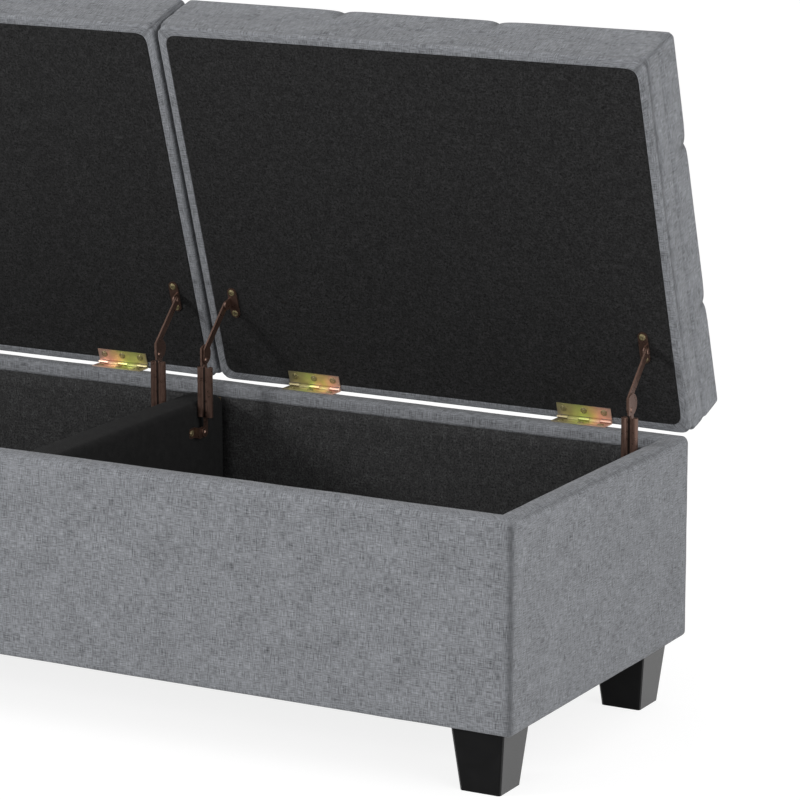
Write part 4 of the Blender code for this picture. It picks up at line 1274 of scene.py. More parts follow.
@dataclass
class Divider:
    """Felt folded over the board between the bins."""

    top: float = 0.2995
    felt: float = 0.002
    edge: float = 0.006
    end_round: float = 0.009
    crown: float = 0.0006
    waviness: float = 0.0003

    def section(self, half: float, low: float) -> list[Spot]:
        """Section of the felt across the divider.

        Args:
            half: Half its width.
            low: Height of its lower edges.

        Returns:
            (X, height) up one side, over the top and down the other.
        """
        edge, shoulder = self.edge, self.top - self.edge
        section = [(-half, low), *between((-half, low), (-half, shoulder), 12)]
        section += arc((-half + edge, shoulder), edge, 180, 90, 6)
        section += between((-half + edge, self.top), (half - edge, self.top), 6)
        section += arc((half - edge, shoulder), edge, 90, 0, 6)
        return [*section, *between((half, shoulder), (half, low), 12), (half, low)]

    def build(self) -> None:
        """Fold the felt over the divider, falling away at its two ends."""
        half_y = BENCH.half_depth - BENCH.rim_width - BENCH.seat
        half, low = BENCH.divider_half, BENCH.bin_floor + BENCH.bin_felt
        section = self.section(half, low)
        turns = [math.radians(turn) for turn in range(0, 91, 15)]
        bend = [half_y - self.end_round * (1 - math.cos(turn)) for turn in turns]
        inner = list(np.linspace(bend[-1], -bend[-1], 30))[1:-1]
        stations = bend + inner + [-place for place in reversed(bend)]
        points = np.zeros((len(stations), len(section), 3))
        for row, y in enumerate(stations):
            short = max(0.0, self.end_round - half_y + abs(y))
            fall = self.end_round - math.sqrt(max(0.0, self.end_round**2 - short**2))
            for column, (x, z) in enumerate(section):
                share = (z - low) / (self.top - low)
                swell = self.crown * (1 - (x / half) ** 2) * share
                wave = math.copysign(self.waviness * ripple((x, y, z), 0.06, 5.0), x)
                points[row, column] = (x + wave, y + BENCH.centre_y, z - fall * share + swell)
        lengths = run_lengths(section)
        piece = lattice("divider_felt", points, stations, lengths, False)
        thicken(piece, self.felt)
        settle(piece, DIVIDER_FELT, "base", ["divider_cover"])


@dataclass
class CoverPattern:
    """A lid's cover while it is sewn, on a grid of rows and columns."""

    columns: list[float]
    rows: list[float]
    vertices: list[Point] = field(default_factory=list)
    faces: list[Sequence[int]] = field(default_factory=list)
    uvs: list[list[Spot]] = field(default_factory=list)
    held: list[int] = field(default_factory=list)
    painted_shades: list[float] = field(default_factory=list)

    def add(self, point: Point, tone: float, held: bool) -> int:
        """Add a point.

        Args:
            point: Where.
            tone: How dark it is painted for the shade of the seams, creases and pleats it lies in.
            held: Whether it is sewn or stapled down.

        Returns:
            Its number.
        """
        number = len(self.vertices)
        self.vertices.append(point)
        self.painted_shades.append(tone)
        if held:
            self.held.append(number)
        return number

    def rim(self) -> list[tuple[Cell, Cell]]:
        """Edge of the grid, anticlockwise.

        Returns:
            (Row, column) of each place, and the way out there as signs of X and Y.
        """
        last_row, last_column = len(self.rows) - 1, len(self.columns) - 1
        rim = [((0, column), (0, -1)) for column in range(last_column)]
        rim += [((row, last_column), (1, 0)) for row in range(last_row)]
        rim += [((last_row, column), (0, 1)) for column in range(last_column, 0, -1)]
        rim += [((row, 0), (-1, 0)) for row in range(last_row, 0, -1)]
        return rim

    def fill(self, numbers: dict[Cell, int], downward: bool) -> None:
        """Lay faces over the whole grid.

        Args:
            numbers: Number of the point at each row and column.
            downward: Whether the faces look down.
        """
        for row in range(len(self.rows) - 1):
            for column in range(len(self.columns) - 1):
                cells = [(row, column), (row, column + 1), (row + 1, column + 1), (row + 1, column)]
                if downward:
                    cells[1:] = cells[:0:-1]
                self.faces.append([numbers[cell] for cell in cells])
                self.uvs.append([(self.columns[c], self.rows[r]) for r, c in cells])

    def drape(self, upper: list[int], lower: list[int], falls: Spot) -> None:
        """Lay faces between two rings of the side, where the top's weave runs on over the edge.

        Args:
            upper: Numbers of the upper ring's points.
            lower: Numbers of the lower ring's points.
            falls: Lengths of cloth from the top's edge down to the two rings.
        """
        rim = self.rim()
        high, low = falls
        for index, (cell, out) in enumerate(rim):
            after = (index + 1) % len(rim)
            following = rim[after][0]
            self.faces.append((upper[index], lower[index], lower[after], upper[after]))
            corners = []
            for (row, column), fall in ((cell, high), (cell, low), (following, low), (following, high)):
                corners.append((self.columns[column] + out[0] * fall, self.rows[row] + out[1] * fall))
            self.uvs.append(corners)

    def close_underneath(self, numbers: dict[Cell, int]) -> None:
        """Fill the opening inside the hem with a grid that follows its four sides.

        Args:
            numbers: Number of the point at each row and column of the hem's edge.
        """
        rows, columns = self.rows, self.columns
        last_row, last_column = len(rows) - 1, len(columns) - 1
        edge = {cell: np.array(self.vertices[number]) for cell, number in numbers.items()}
        for row in range(1, last_row):
            up = (rows[row] - rows[0]) / (rows[-1] - rows[0])
            for column in range(1, last_column):
                over = (columns[column] - columns[0]) / (columns[-1] - columns[0])
                point = (1 - up) * edge[0, column] + up * edge[last_row, column]
                point = point + (1 - over) * edge[row, 0] + over * edge[row, last_column]
                front = (1 - over) * edge[0, 0] + over * edge[0, last_column]
                back = (1 - over) * edge[last_row, 0] + over * edge[last_row, last_column]
                point = point - (1 - up) * front - up * back
                numbers[row, column] = self.add(tuple(point), 0.0, True)
        self.fill(numbers, True)


@dataclass
class TuftedLid:
    """One padded lid: tufted cloth over foam, a turned hem and a felt panel underneath.

    A band's crease is listed as millimetres above its line and share of its depth, and the valley
    over the hem as millimetres above the underside, share of its depth and share of its painted shade.
    """

    side: Side
    length: float = 0.633
    depth: float = 0.4734
    behind: float = 0.0067
    lift: float = 0.0027
    cloth: float = 0.0016
    # Tufted top
    crown: float = 0.083
    edge_fall: float = 0.0025
    edge_radius: float = 0.006
    edge_power: float = 12.0
    edge_share: float = 0.5
    pitch: float = 0.201
    tuft_depth: float = 0.016
    pillow_power: float = 2.4
    pleat_share: float = 0.45
    pleat_bite: float = 0.0016
    pleat_reach: float = 0.004
    pleat_painted_shade: float = 0.6
    column_cells: int = 22
    row_cells: int = 18
    # Boxing
    corner_radius: float = 0.0065
    roll_angles: tuple[int, ...] = (15, 30, 45, 60, 75, 90)
    side_draw: float = 0.0008
    band_height: float = 0.036
    band_crease: float = 0.0016
    band_painted_shade: float = 0.3
    band: tuple[Spot, ...] = (
        *((11, 0.0), (6, 0.1), (3, 0.35), (1.2, 0.8), (0, 1)),
        *((-1.2, 0.8), (-3, 0.3), (-6, 0.0)),
    )
    band_levels: range = range(8, 13)
    long_side_crease: float = 0.35
    inner_end_crease: float = 0.25
    crease_painted_shade: float = 0.6
    # Hem
    hem_radius: float = 0.003
    hem_width: float = 0.0119
    hem_corner: float = 0.013
    hem_set_in: float = 0.0025
    hem_level: int = 16
    hem_lip: Spot = (0.0005, 0.0004)
    hem_tuck: float = 0.0001
    shallow_hem: float = 0.5
    valley: tuple[Point, ...] = (
        *((16, 0.0, 0.0), (12, 0.3, 0.12), (10, 0.7, 0.5), (8.5, 1.2, 1.0)),
        *((7, 1.15, 0.8), (5, 1.0, 0.3), (3.6, 1.0, 0.1)),
    )
    valley_fade: float = 0.7
    end_ease: Spot = (0.05, 0.15)
    back_ease: Spot = (0.2, 0.1)
    # Corner seams
    corner_zone: float = 0.016
    corner_width: float = 0.0016
    corner_press: float = 0.0013
    corner_painted_shade: float = 0.45
    # Swelling
    pressure: float = 4.0
    stiffness: float = 0.3
    slack: float = 0.012
    reach: float = 0.006
    overhang: float = 0.0006
    frames: int = 20
    # Foam and felt inside and under the cover
    foam_low: float = 0.0172
    foam_high: float = 0.0577
    foam_inset: float = 0.0045
    foam_corner: float = 0.017
    felt_inset: float = 0.0122
    felt_step: float = 0.0132
    panel_corner: float = 0.013
    least_corner: float = 0.0008
    corner_steps: int = 8
    straight_steps: int = 34
    wave_length: float = 0.08
    foam_wave: float = 0.0002
    felt_wave: float = 0.0003

    @property
    def inner_half(self) -> Spot:
        """Half sizes of the top inside its rolled edge."""
        return self.length / 2 - self.edge_radius, self.depth / 2 - self.edge_radius

    def lines(self, half: float, cells: int) -> list[float]:
        """Grid lines across the top, closer at its edges and at the two pleats.

        Args:
            half: Half the size of the top.
            cells: Number of steps across each of the three pillows.

        Returns:
            The lines' places.
        """
        marks = (-half, -self.pitch / 2, self.pitch / 2, half)
        shares = [(1 - math.cos(math.pi * step / cells)) / 2 for step in range(cells)]
        found = []
        for low, high in zip(marks, marks[1:]):
            found += [low + (high - low) * share for share in shares]
        return [*found, half]

    def swell(self, position: float, half: float, power: float) -> float:
        """Rise across one row of pillows.

        Args:
            position: Where across the row.
            half: Half the length of the row.
            power: How steeply the pillows rise.

        Returns:
            0 on a pleat, and 1 at the top of a pillow and at the edge.
        """
        pleat = self.pitch / 2
        if abs(position) <= pleat:
            share = 1 - abs(position) / pleat
        else:
            share = (abs(position) - pleat) / (half - pleat)
        return 1 - (1 - share) ** power

    def height(self, x: float, y: float) -> float:
        """Height of the tufted top above the underside.

        Args:
            x: Where along the lid.
            y: Where across it.

        Returns:
            The height.
        """
        half_x, half_y = self.inner_half
        near_end, near_side = (abs(x) / half_x) ** 10, (abs(y) / half_y) ** 10
        swell_x = self.swell(x, half_x, self.pillow_power + self.edge_power * near_side)
        swell_y = self.swell(y, half_y, self.pillow_power + self.edge_power * near_end)
        pleats = self.pleat_share * (swell_x + swell_y)
        both = pleats + (1 - 2 * self.pleat_share) * swell_x * swell_y
        fall = self.edge_fall * max(abs(x) / half_x, abs(y) / half_y) ** 4
        depth = self.tuft_depth * (1 - self.edge_share * max(near_end, near_side))
        return self.crown - depth * (1 - both) - fall

    def at_pleat(self, position: float) -> float:
        """1 on a pleat, falling to 0 beside it."""
        return bell(abs(position) - self.pitch / 2, self.pleat_reach)

    @staticmethod
    def onto_corner(x: float, y: float, half: Spot, radius: float) -> Spot:
        """Move a point of a rectangle's edge onto the round corner near it.

        Args:
            x: Where along the rectangle.
            y: Where across it.
            half: Half sizes of the rectangle.
            radius: Radius of its corners.

        Returns:
            The point's new place.
        """
        gap_x, gap_y = half[0] - abs(x), half[1] - abs(y)
        gap = max(gap_x, gap_y)
        if gap >= radius:
            return x, y
        turn = math.radians(45) * (1 - gap / radius)
        reach = (math.sin(turn), math.cos(turn))
        if gap_y > gap_x:
            reach = reach[::-1]
        corner = [half[axis] - radius + radius * reach[axis] for axis in (0, 1)]
        return math.copysign(corner[0], x), math.copysign(corner[1], y)

    def edge_point(self, x: float, y: float, inset: float, radius: float) -> Spot:
        """Point of the lid's outline below a point of the top's edge.

        Args:
            x: Where along the top's edge.
            y: Where across.
            inset: Inset of the outline.
            radius: Radius of its corners.

        Returns:
            The point.
        """
        halves = (self.length / 2 - inset, self.depth / 2 - inset)
        pleat = self.pitch / 2
        moved = []
        for value, inner, half in zip((x, y), self.inner_half, halves):
            if abs(value) > pleat:
                stretch = (half - pleat) / (inner - pleat)
                value = math.copysign(pleat + (abs(value) - pleat) * stretch, value)
            moved.append(value)
        return self.onto_corner(*moved, halves, radius)

    def side_levels(self, x: float, y: float) -> list[Point]:
        """Section of the side below a point of the top's edge.

        Args:
            x: Where along the top's edge.
            y: Where across.

        Returns:
            (Inset, height, painted seam shade) down the side, round the hem and up behind the felt
            panel.
        """
        half_x, half_y = self.inner_half
        on_end = half_x - abs(x) < half_y - abs(y)
        inner_end, front = on_end and x < 0, not on_end and y < 0
        along, half = (y, half_y) if on_end else (x, half_x)
        draw = self.side_draw * (1 - (along / half) ** 2)
        notch = self.at_pleat(along)
        top, roll = self.height(x, y), self.edge_radius
        levels = []
        for angle in self.roll_angles:
            out, down = math.sin(math.radians(angle)), 1 - math.cos(math.radians(angle))
            inset = roll * (1 - out) + (draw + self.pleat_bite * notch) * out
            levels.append((inset, top - roll * down, self.pleat_painted_shade * notch))
        share = 1.0 if on_end else self.long_side_crease
        if inner_end:
            share = self.inner_end_crease
        for rise, bitten in self.band:
            inset = draw + share * self.band_crease * bitten
            tone = self.band_painted_shade * share * self.crease_painted_shade * bitten
            levels.append((inset, self.band_height + MILLIMETRE * rise, tone))
        place, (start, run) = (y, self.end_ease) if on_end else (abs(x), self.back_ease)
        ease = max(0.0, min(1.0, (place - start) / run))
        shallow = 1.0 if front or inner_end else ease
        set_in = self.hem_set_in * (1.0 - (1.0 - self.shallow_hem) * shallow)
        if on_end:
            share *= 1.0 - self.valley_fade * ease
        for rise, bitten, tone in self.valley:
            levels.append((set_in * bitten, MILLIMETRE * rise, share * self.crease_painted_shade * tone))
        roll, edge, (lip, lip_rise) = self.hem_radius, self.hem_width, self.hem_lip
        hem = arc((set_in + roll, roll), roll, 180, 270, 6)
        hem += [(edge - lip, 0.0), (edge, lip_rise), (edge, self.cloth + self.hem_tuck)]
        return levels + [(*spot, 0.0) for spot in hem]

    def sew_top(self, pattern: CoverPattern) -> dict[Cell, int]:
        """Lay out the tufted top, held along its edges and its pleats.

        Args:
            pattern: The cover.

        Returns:
            Number of the point at each row and column.
        """
        half, pleat = self.inner_half, self.pitch / 2
        numbers = {}
        for row, y in enumerate(pattern.rows):
            for column, x in enumerate(pattern.columns):
                held = abs(x) == half[0] or abs(y) == half[1]
                held |= any(math.isclose(abs(at), pleat, abs_tol=SAME_PLACE) for at in (x, y))
                spot = self.onto_corner(x, y, half, self.corner_radius - self.edge_radius)
                # painted shade along the pleats
                tone = self.pleat_painted_shade * max(self.at_pleat(x), self.at_pleat(y))
                numbers[row, column] = pattern.add((*spot, self.height(x, y)), tone, held)
        pattern.fill(numbers, False)
        return numbers

    def sew_sides(self, pattern: CoverPattern, top: dict[Cell, int]) -> dict[Cell, int]:
        """Sew the rolled edge, the boxing and the hem below the top's edge.

        Args:
            pattern: The cover.
            top: Number of the top's point at each row and column.

        Returns:
            Number of the point at each row and column of the hem's inner edge.
        """
        cells = [cell for cell, _ in pattern.rim()]
        places = [(pattern.columns[column], pattern.rows[row]) for row, column in cells]
        sides = [self.side_levels(*place) for place in places]
        plain = sides[len(cells) // 17]  # a place of the front beside no pleat
        falls = run_lengths([(self.edge_radius, self.crown), *[level[:2] for level in plain]])
        upper = [top[cell] for cell in cells]
        lip_inset = self.hem_width - self.hem_lip[0] - self.hem_tuck
        for level in range(len(plain)):
            held = level < len(self.roll_angles) or level in self.band_levels or level > self.hem_level
            ring = []
            for place, levels in zip(places, sides):
                inset, height, tone = levels[level]
                radius = max(self.corner_radius - inset, self.hem_radius)
                if level >= self.hem_level:
                    radius = self.hem_corner
                if inset >= lip_inset:
                    radius = self.panel_corner
                ring.append(pattern.add((*self.edge_point(*place, inset, radius), height), tone, held))
            pattern.drape(upper, ring, falls[level : level + 2])
            upper = ring
        return dict(zip(cells, upper))

    def sew_cover(self) -> bpy.types.Mesh:
        """Sew the right lid's tufted cover as a closed form about its middle, and swell it.

        Returns:
            The cover's mesh.
        """
        half_x, half_y = self.inner_half
        columns, rows = self.lines(half_x, self.column_cells), self.lines(half_y, self.row_cells)
        pattern = CoverPattern(columns, rows)
        pattern.close_underneath(self.sew_sides(pattern, self.sew_top(pattern)))
        piece = surface("lid_cloth_pattern", pattern.vertices, pattern.faces, pattern.uvs)
        self.swell_by_pressure(piece, pattern.held)
        self.press_corner_seams(piece, pattern.painted_shades)
        # painted shade of the seams, creases and pleats, on each point
        note_painted_shade(piece, pattern.painted_shades)
        mesh = piece.data
        bpy.data.objects.remove(piece)
        return mesh

    def swell_by_pressure(self, piece: bpy.types.Object, held: list[int]) -> None:
        """Swell the cover by cloth simulation between its sewn lines, and keep it within reach.

        Args:
            piece: The closed cover.
            held: Vertices that are sewn or stapled down.
        """
        start = np.array([vert.co for vert in piece.data.vertices])
        piece.vertex_groups.new(name="sewn").add(held, 1.0, "REPLACE")
        modifier = piece.modifiers.new("swelling", "CLOTH")
        modifier.collision_settings.use_collision = False
        modifier.point_cache.frame_start, modifier.point_cache.frame_end = 1, self.frames
        settings = modifier.settings
        settings.quality = 6
        settings.use_pressure = True
        settings.uniform_pressure_force = self.pressure
        settings.shrink_min = -self.slack
        settings.effector_weights.gravity = 0.0
        settings.vertex_group_mass = "sewn"
        settings.bending_stiffness = self.stiffness
        scene = bpy.context.scene
        for step in range(1, self.frames + 1):
            scene.frame_set(step)
        swollen = piece.evaluated_get(bpy.context.evaluated_depsgraph_get())
        end = np.array([vert.co for vert in swollen.data.vertices])
        piece.modifiers.remove(modifier)
        piece.vertex_groups.clear()
        scene.frame_set(1)
        moves = end - start
        far = np.linalg.norm(moves, axis=1, keepdims=True)
        LOG.info("%s swelled by %.1f mm at most", piece.name, far.max() / MILLIMETRE)
        kept = start + moves * np.minimum(1.0, self.reach / np.maximum(far, 1e-9))
        for axis, size in ((0, self.length), (1, self.depth)):
            limit = size / 2 + self.overhang
            kept[:, axis] = np.clip(kept[:, axis], -limit, limit)
        piece.data.vertices.foreach_set("co", kept.ravel())
        piece.data.update()

    def press_corner_seams(self, piece: bpy.types.Object, painted_shades: list[float]) -> None:
        """Press a sewn seam into the four corners of the boxing, and on over the hem, with painted
        shade along it.

        Args:
            piece: The cover.
            painted_shades: Painted shade of each of its points, made darker along the seams.
        """
        corner = np.array((self.length / 2, self.depth / 2))
        top = self.crown - self.edge_fall - MILLIMETRE
        for number, vert in enumerate(piece.data.vertices):
            gap = corner - np.abs(np.array(vert.co.xy))
            if max(gap) > self.corner_zone or vert.co.z > top:
                continue
            share = bell(gap[0] - gap[1], self.corner_width)
            painted_shades[number] = max(painted_shades[number], self.corner_painted_shade * share)
            press = self.corner_press * share
            if vert.co.z < self.hem_radius:
                vert.co.z += 0.5 * press
                continue
            vert.co.x -= math.copysign(press, vert.co.x)
            vert.co.y -= math.copysign(press, vert.co.y)

    def panel(
        self, name: str, inset: float, corner: float, levels: Sequence[Spot], waviness: float
    ) -> bpy.types.Object:
        """Flat panel with the lid's outline at some inset, in its open place.

        Args:
            name: Name of the piece.
            inset: Inset of its outline from the lid's.
            corner: Radius of its corners.
            levels: (Further inset, height) from the middle of one face over the edge to the other.
            waviness: How far its faces wander from flat.

        Returns:
            The panel, closed.
        """
        half_x, half_y = self.length / 2 - inset, self.depth / 2 - inset
        vertices = []
        for extra, height in levels:
            radius = max(corner - extra, self.least_corner)
            bends = []
            for sign_x, sign_y, start in ((1, -1, -90), (1, 1, 0), (-1, 1, 90), (-1, -1, 180)):
                middle = (sign_x * (half_x - extra - radius), sign_y * (half_y - extra - radius))
                bends.append(arc(middle, radius, start, start + 90, self.corner_steps))
            loop = []
            for bend, following in zip(bends, bends[1:] + bends[:1]):
                loop += bend + between(bend[-1], following[0], self.straight_steps)
            for x, y in loop:
                wave = waviness * ripple((x, y, height), self.wave_length, self.side.value)
                vertices.append((x, y, height + wave))
        count = len(loop)
        first, last = range(count), range(len(vertices) - count, len(vertices))
        piece = surface(name, vertices, [*bands(len(levels), count), first[::-1], last])
        self.open_up(piece)
        return piece

    def open_up(self, piece: bpy.types.Object) -> None:
        """Turn a piece drawn shut, with its middle at the origin, into its open place.

        Args:
            piece: The piece.
        """
        centred = Matrix.Translation((0.0, self.behind - self.depth / 2, self.lift))
        piece.data.transform(BENCH.opened(self.side) @ centred)
        piece.data.update()

    def build_cover(self, pattern: bpy.types.Mesh) -> None:
        """Put the cover on, mirrored on the left lid.

        Args:
            pattern: The sewn and swollen cover, which both lids share.
        """
        word = self.side.word
        cover = bpy.data.objects.new(f"{word}_lid_tufted_cloth", pattern.copy())
        bpy.context.scene.collection.objects.link(cover)
        if self.side is Side.LEFT:
            cover.data.transform(Matrix.Scale(-1.0, 4, (1.0, 0.0, 0.0)))
            cover.data.flip_normals()
        fine = cover.modifiers.new("fine_cloth", "SUBSURF")
        fine.levels, fine.render_levels = 1, 1
        self.open_up(cover)
        settle(cover, GREY_LINEN, f"{word}_lid", [f"{word}_lid_cover"])

    def build_foam(self) -> None:
        """Put the cut foam inside the cover."""
        word, low, high = self.side.word, self.foam_low, self.foam_high
        levels = [(0.12, low), (0.06, low), (0.003, low), (0.0, low + 0.003), (0.0, high - 0.006)]
        levels += [(0.002, high - 0.002), (0.007, high), (0.06, high), (0.12, high)]
        name = f"{word}_lid_cut_foam"
        foam = self.panel(name, self.foam_inset, self.foam_corner, levels, self.foam_wave)
        settle(foam, PALE_FOAM, f"{word}_lid", [f"{word}_lid_foam"])

    def build_felt(self) -> None:
        """Close the underside with a felt panel inside the hem."""
        word, back = self.side.word, self.cloth
        levels = [(0.20, back), (0.1, back), (0.001, back), (0.0, back - 0.0003)]
        levels += [(0.0, 0.0007), (0.0003, 0.0002), (0.0009, -0.0001), (0.003, 0.0)]
        levels += [(step * self.felt_step, 0.0) for step in range(1, 16)]
        corner = self.panel_corner - 0.0003
        felt = self.panel(f"{word}_lid_felt", self.felt_inset, corner, levels, self.felt_wave)
        settle(felt, LID_FELT, f"{word}_lid", [f"{word}_lid_lining"])

    def build(self, pattern: bpy.types.Mesh) -> None:
        """Make the cover, the foam inside it and the felt panel under it.

        Args:
            pattern: The sewn and swollen cover, which both lids share.
        """
        self.build_cover(pattern)
        self.build_foam()
        self.build_felt()


@dataclass
class CrossScrews:
    """Pan-head screws with a cross recess, over the plain heads of the solids."""

    radius: float = 0.004
    rise: float = 0.0012
    flange: float = 0.00075
    groove: float = 0.0005
    dome: float = 0.72
    root: float = -0.0006
    recess: float = 0.00025
    slot_width: float = 0.00055
    slot_reach: float = 0.0021
    first_turn: float = 0.5
    turn_step: float = 1.1
    sides: int = 40
    rings: tuple[float, ...] = (
        *(1.0, 0.97, 0.88, 0.8, 0.76, 0.72, 0.69),
        *(0.65, 0.58, 0.5, 0.4, 0.3, 0.2, 0.1),
    )
    # Places of the screws on the plates
    leaf_pitch: float = 0.026
    leaf_reach: float = 0.0112
    leaf_face: float = 0.0013
    plate_offset: float = 0.02135
    plate_reach: float = 0.1045
    plate_pitch: float = 0.014
    plate_face: float = 0.0006
    wall_face: float = 0.0021
    wall_reach: float = 0.0145

    def height(self, ring: float) -> float:
        """Height of a head at a share of its radius: a flange, a groove and a dome.

        Args:
            ring: Share of the radius.

        Returns:
            The height.
        """
        if ring < self.dome:
            return self.groove + (self.rise - self.groove) * math.sqrt(1 - (ring / self.dome) ** 2)
        return self.flange if self.dome < ring < 1.0 else self.groove

    def head(self, turn: float) -> tuple[list[Vector], list[Sequence[int]]]:
        """One head standing on the XY plane.

        Args:
            turn: Angle of its cross in radians.

        Returns:
            Points and faces.
        """
        angles = [2 * math.pi * step / self.sides for step in range(self.sides)]
        rim = [(self.radius * math.cos(angle), self.radius * math.sin(angle)) for angle in angles]
        points = [Vector((x, y, self.root)) for x, y in rim]
        for ring in self.rings:
            for x, y in [(ring * x, ring * y) for x, y in rim]:
                along = abs(x * math.cos(turn) + y * math.sin(turn))
                across = abs(y * math.cos(turn) - x * math.sin(turn))
                in_cross = min(along, across) < self.slot_width and max(along, across) < self.slot_reach
                points.append(Vector((x, y, self.height(ring) - self.recess * in_cross)))
        top = range(len(points) - self.sides, len(points))
        return points, [*bands(len(self.rings) + 1, self.sides), top, range(self.sides)[::-1]]

    def drive(self, name: str, spots: Sequence[tuple[Vector, Vector]], body: str) -> None:
        """Set a row of screws into a plate.

        Args:
            name: Name of the piece.
            spots: Point on the plate's face and the way out of it, for each screw.
            body: Body that the plate moves with.
        """
        vertices, faces = [], []
        for number, (point, outward) in enumerate(spots):
            stand = Matrix.Translation(point) @ outward.to_track_quat("Z", "Y").to_matrix().to_4x4()
            points, loops = self.head(self.first_turn + self.turn_step * number)
            faces += [tuple(index + len(vertices) for index in loop) for loop in loops]
            vertices += [stand @ point for point in points]
        settle(surface(name, vertices, faces), ZINC_PAINTED_DARKER, body)

    def build_for(self, side: Side, place: Place) -> None:
        """Screw down the hinge and the stay at one place of one lid.

        Args:
            side: Half of the bench.
            place: Which hinge and stay of that half.
        """
        tag, lid = f"{side.word}_{place.value}", f"{side.word}_lid"
        turn = BENCH.opened(side)
        upward, outward = Vector((0, 0, 1)), turn.to_3x3() @ Vector((0, 0, -1))
        centre, local = BENCH.hinge_centre(side, place), side.value * BENCH.lid_centre
        xs = [centre + step * self.leaf_pitch for step in (-1, 0, 1)]
        y, z = BENCH.hinge_y - self.leaf_reach, BENCH.hinge_z - self.leaf_face
        down = [(Vector((x, y, z)), upward) for x in xs]
        self.drive(f"{tag}_base_leaf_screws", down, "base")
        up = [(turn @ Vector((x - local, -self.leaf_reach, self.leaf_face)), outward) for x in xs]
        self.drive(f"{tag}_lid_leaf_screws", up, lid)
        wall, inward = BENCH.stay_wall(side, place)
        x = wall + inward * self.plate_offset - local
        ys = [way * self.plate_pitch - self.plate_reach for way in (-1, 1)]
        plates = [(turn @ Vector((x, y, self.plate_face)), outward) for y in ys]
        self.drive(f"{tag}_lid_plate_screws", plates, lid)
        pivot_y, pivot_z = BENCH.stay_pivot
        spot = Vector((wall + inward * self.wall_face, pivot_y - self.wall_reach, pivot_z))
        self.drive(f"{tag}_wall_plate_screw", [(spot, Vector((inward, 0, 0)))], "base")

    def build(self) -> None:
        """Screw every hinge leaf and stay bracket down."""
        for side in Side:
            for place in Place:
                self.build_for(side, place)


@dataclass
class StayCanister:
    """Sheet rolled into the two barrels of a stay, finer than its solid."""

    side: Side
    place: Place
    offset: float = 0.0128
    sheet: float = 0.0009
    start: float = 0.0187
    length: float = 0.0615
    radius: float = 0.0033
    spacing: float = 0.013
    slit: float = 35.0
    slit_width: float = 0.003
    meet: float = -30.0
    edge: float = 0.0002

    def outline(self) -> np.ndarray:
        """Section of the rolled sheet.

        Returns:
            Points along its outside and back along its inside, from the wall and from the pivot.
        """
        half = self.spacing / 2
        path = arc((self.offset - half, 0.0), self.radius, self.slit, 360 + self.meet, 36)
        far_side = arc((self.offset + half, 0.0), self.radius, -180 - self.meet, 180 - self.slit, 36)
        line = np.array(path + between(path[-1], far_side[0], 12) + far_side)
        tangents = np.gradient(line, axis=0)
        tangents /= np.linalg.norm(tangents, axis=1, keepdims=True)
        sideways = np.stack([-tangents[:, 1], tangents[:, 0]], axis=1) * self.sheet / 2
        return np.vstack([line + sideways, (line - sideways)[::-1]])

    def build(self) -> None:
        """Roll the sheet, mark the painted shade of its slit, and stand it on its stay."""
        wall, inward = BENCH.stay_wall(self.side, self.place)
        pivot_y, pivot_z = BENCH.stay_pivot
        outline = self.outline()
        count = len(outline)
        levels = [self.start + self.length * share for share in (0.0, 0.25, 0.5, 0.75, 1.0)]
        vertices = []
        for level in levels:
            vertices += [(wall + inward * x, pivot_y + y, pivot_z + level) for x, y in outline]
        faces = bands(len(levels), count)
        for base in (0, count * (len(levels) - 1)):
            for index in range(count // 2 - 1):
                far = base + count - 1 - index
                faces.append((base + index, base + index + 1, far - 1, far))
        tag = f"{self.side.word}_{self.place.value}"
        piece = surface(f"{tag}_rolled_canister", vertices, faces)
        mesh = bmesh.new()
        mesh.from_mesh(piece.data)
        bmesh.ops.recalc_face_normals(mesh, faces=mesh.faces)
        mesh.to_mesh(piece.data)
        mesh.free()
        # painted shade: the middle of the sheet, between the barrels, is marked dark for the shade in
        # its slit
        slit_painted_shade_mask = np.abs(outline[:, 0] - self.offset) < self.slit_width / 2
        note_painted_shade(piece, np.tile(slit_painted_shade_mask, len(levels)))
        soften(piece, self.edge)
        settle(piece, BRONZE, f"{tag}_stay_lower", [f"{tag}_stay_canister"])


@dataclass
class SolidDress:
    """Finishes for the solids that show as they are, and the width of their broken edges."""

    nodes: dict[str, bpy.types.Object]
    finishes: tuple[tuple[str, Finish, float], ...] = (
        ("hinge", YELLOW_ZINC, 0.0002),
        ("foot_bolt", BRIGHT_STEEL, 0.0003),
        ("foot", SATIN_BLACK, 0.0007),
        ("stay", BRONZE, 0.0003),
        ("board", FLAKE_BOARD, 0.0005),
    )

    def build(self) -> None:
        """Give each shown solid its finish and softly broken edges."""
        for name, node in self.nodes.items():
            if node.hide_render:
                continue
            _, finish, width = next(row for row in self.finishes if row[0] in name)
            for slot in node.material_slots:
                slot.material = finish.material()
            soften(node, width)
            LOG.info("%s dressed in %s", name, finish.name)


@dataclass(frozen=True)
class Lamp:
    """Large square lamp aimed at the middle of the bench."""

    name: str
    place: Point
    size: float
    power: float
    target: Point = (0.2, 0.0, 0.3)


def aimed(item: bpy.types.Object, place: Point, target: Point) -> None:
    """Stand a lamp or camera in the scene, pointing at a target.

    Args:
        item: The lamp or camera.
        place: Where it stands.
        target: What it points at.
    """
    item.location = place
    aim = Vector(target) - Vector(place)
    item.rotation_euler = aim.to_track_quat("-Z", "Y").to_euler()
    bpy.context.scene.collection.objects.link(item)


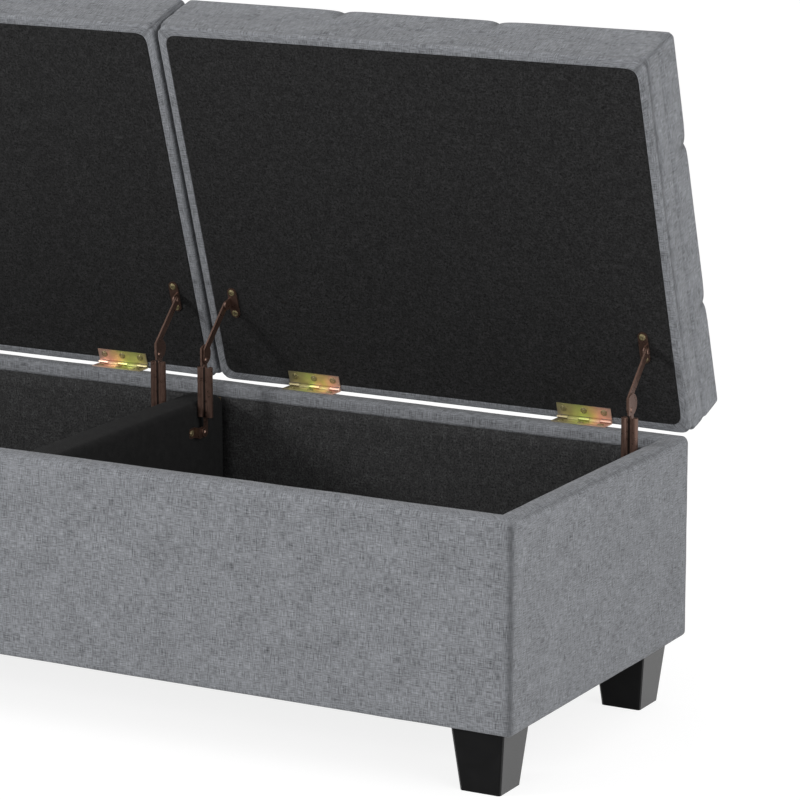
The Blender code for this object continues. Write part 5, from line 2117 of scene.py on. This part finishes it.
@dataclass
class Studio:
    """White floor and surround, soft light and the camera."""

    ambient: float = 0.6
    floor_size: float = 60.0
    floor_tone: float = 0.85
    shadow_tone: float = 0.28
    floor_glow: float = 0.84
    lamps: tuple[Lamp, ...] = (
        Lamp("key", (-2.9, -3.2, 1.65), 0.9, 72.0),
        Lamp("fill", (3.6, -1.2, 1.8), 2.4, 40.0),
    )
    camera_at: Point = (2.41011, -3.76996, 1.33392)
    camera_to: Point = (0.37729, -0.03819, 0.37217)
    lens: float = 173.98

    @staticmethod
    def grey(tone: float) -> tuple[float, float, float, float]:
        """A plain grey."""
        return (tone, tone, tone, 1.0)

    @staticmethod
    def seen(graph: Graph) -> Socket:
        """1 for rays that show the surround itself: camera, glossy and transmission rays.

        Args:
            graph: The nodes that it joins.

        Returns:
            The value.
        """
        path = graph.add("ShaderNodeLightPath").outputs
        mirror = graph.sum("MAXIMUM", path["Is Glossy Ray"], path["Is Transmission Ray"])
        return graph.sum("MAXIMUM", path["Is Camera Ray"], mirror)

    def build_world(self) -> None:
        """Even white surround."""
        world = bpy.data.worlds.new("white_surround")
        world.use_nodes = True
        graph = Graph(world.node_tree)
        strength = graph.spread(self.seen(graph), 0.0, 1.0, self.ambient, 1.0)
        background = world.node_tree.nodes["Background"]
        graph.feed(background, {"Color": self.grey(1.0), "Strength": strength})
        bpy.context.scene.world = world

    def build_floor(self) -> None:
        """Pale floor that runs to the horizon and keeps a faint shadow."""
        half = self.floor_size
        corners = [(-half, -half, 0), (half, -half, 0), (half, half, 0), (-half, half, 0)]
        floor = surface("studio_floor", corners, [(0, 1, 2, 3)])
        material = bpy.data.materials.new("studio_floor")
        material.use_nodes = True
        material.node_tree.nodes.clear()
        graph = Graph(material.node_tree)
        bounce = graph.add("ShaderNodeBsdfDiffuse", {"Color": self.grey(self.floor_tone)})
        shadow = graph.add("ShaderNodeBsdfDiffuse", {"Color": self.grey(self.shadow_tone)})
        lit = {"Color": self.grey(1.0), "Strength": self.floor_glow}
        glow = graph.add("ShaderNodeEmission", lit)
        shown = graph.add("ShaderNodeAddShader", {0: shadow.outputs[0], 1: glow.outputs[0]})
        inputs = {0: self.seen(graph), 1: bounce.outputs[0], 2: shown.outputs[0]}
        mixed = graph.add("ShaderNodeMixShader", inputs)
        graph.add("ShaderNodeOutputMaterial", {"Surface": mixed.outputs[0]})
        floor.data.materials.append(material)

    def build_lamps(self) -> None:
        """Soft light from both sides."""
        for lamp in self.lamps:
            data = bpy.data.lights.new(lamp.name, "AREA")
            data.size, data.energy = lamp.size, lamp.power
            aimed(bpy.data.objects.new(lamp.name, data), lamp.place, lamp.target)

    def build_camera(self) -> None:
        """Camera at the photograph's place."""
        data = bpy.data.cameras.new("camera")
        data.lens = self.lens
        data.sensor_width = 36.0
        camera = bpy.data.objects.new("camera", data)
        aimed(camera, self.camera_at, self.camera_to)
        bpy.context.scene.camera = camera

    def build(self) -> None:
        """Set up the whole studio."""
        bpy.context.scene.view_settings.view_transform = "Standard"
        self.build_world()
        self.build_floor()
        self.build_lamps()
        self.build_camera()


def main() -> None:
    """Build the studio and dress the bench, piece by piece."""
    logging.basicConfig(level=logging.INFO, format="%(name)s %(message)s")
    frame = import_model()
    Studio().build()
    BoxUpholstery().build()
    for side in Side:
        BinLining(side).build()
    Divider().build()
    pattern = TuftedLid(Side.RIGHT).sew_cover()
    for side in Side:
        TuftedLid(side).build(pattern)
    for side in Side:
        for place in Place:
            StayCanister(side, place).build()
    CrossScrews().build()
    SolidDress(frame["nodes"]).build()


if __name__ == "__main__":
    main()
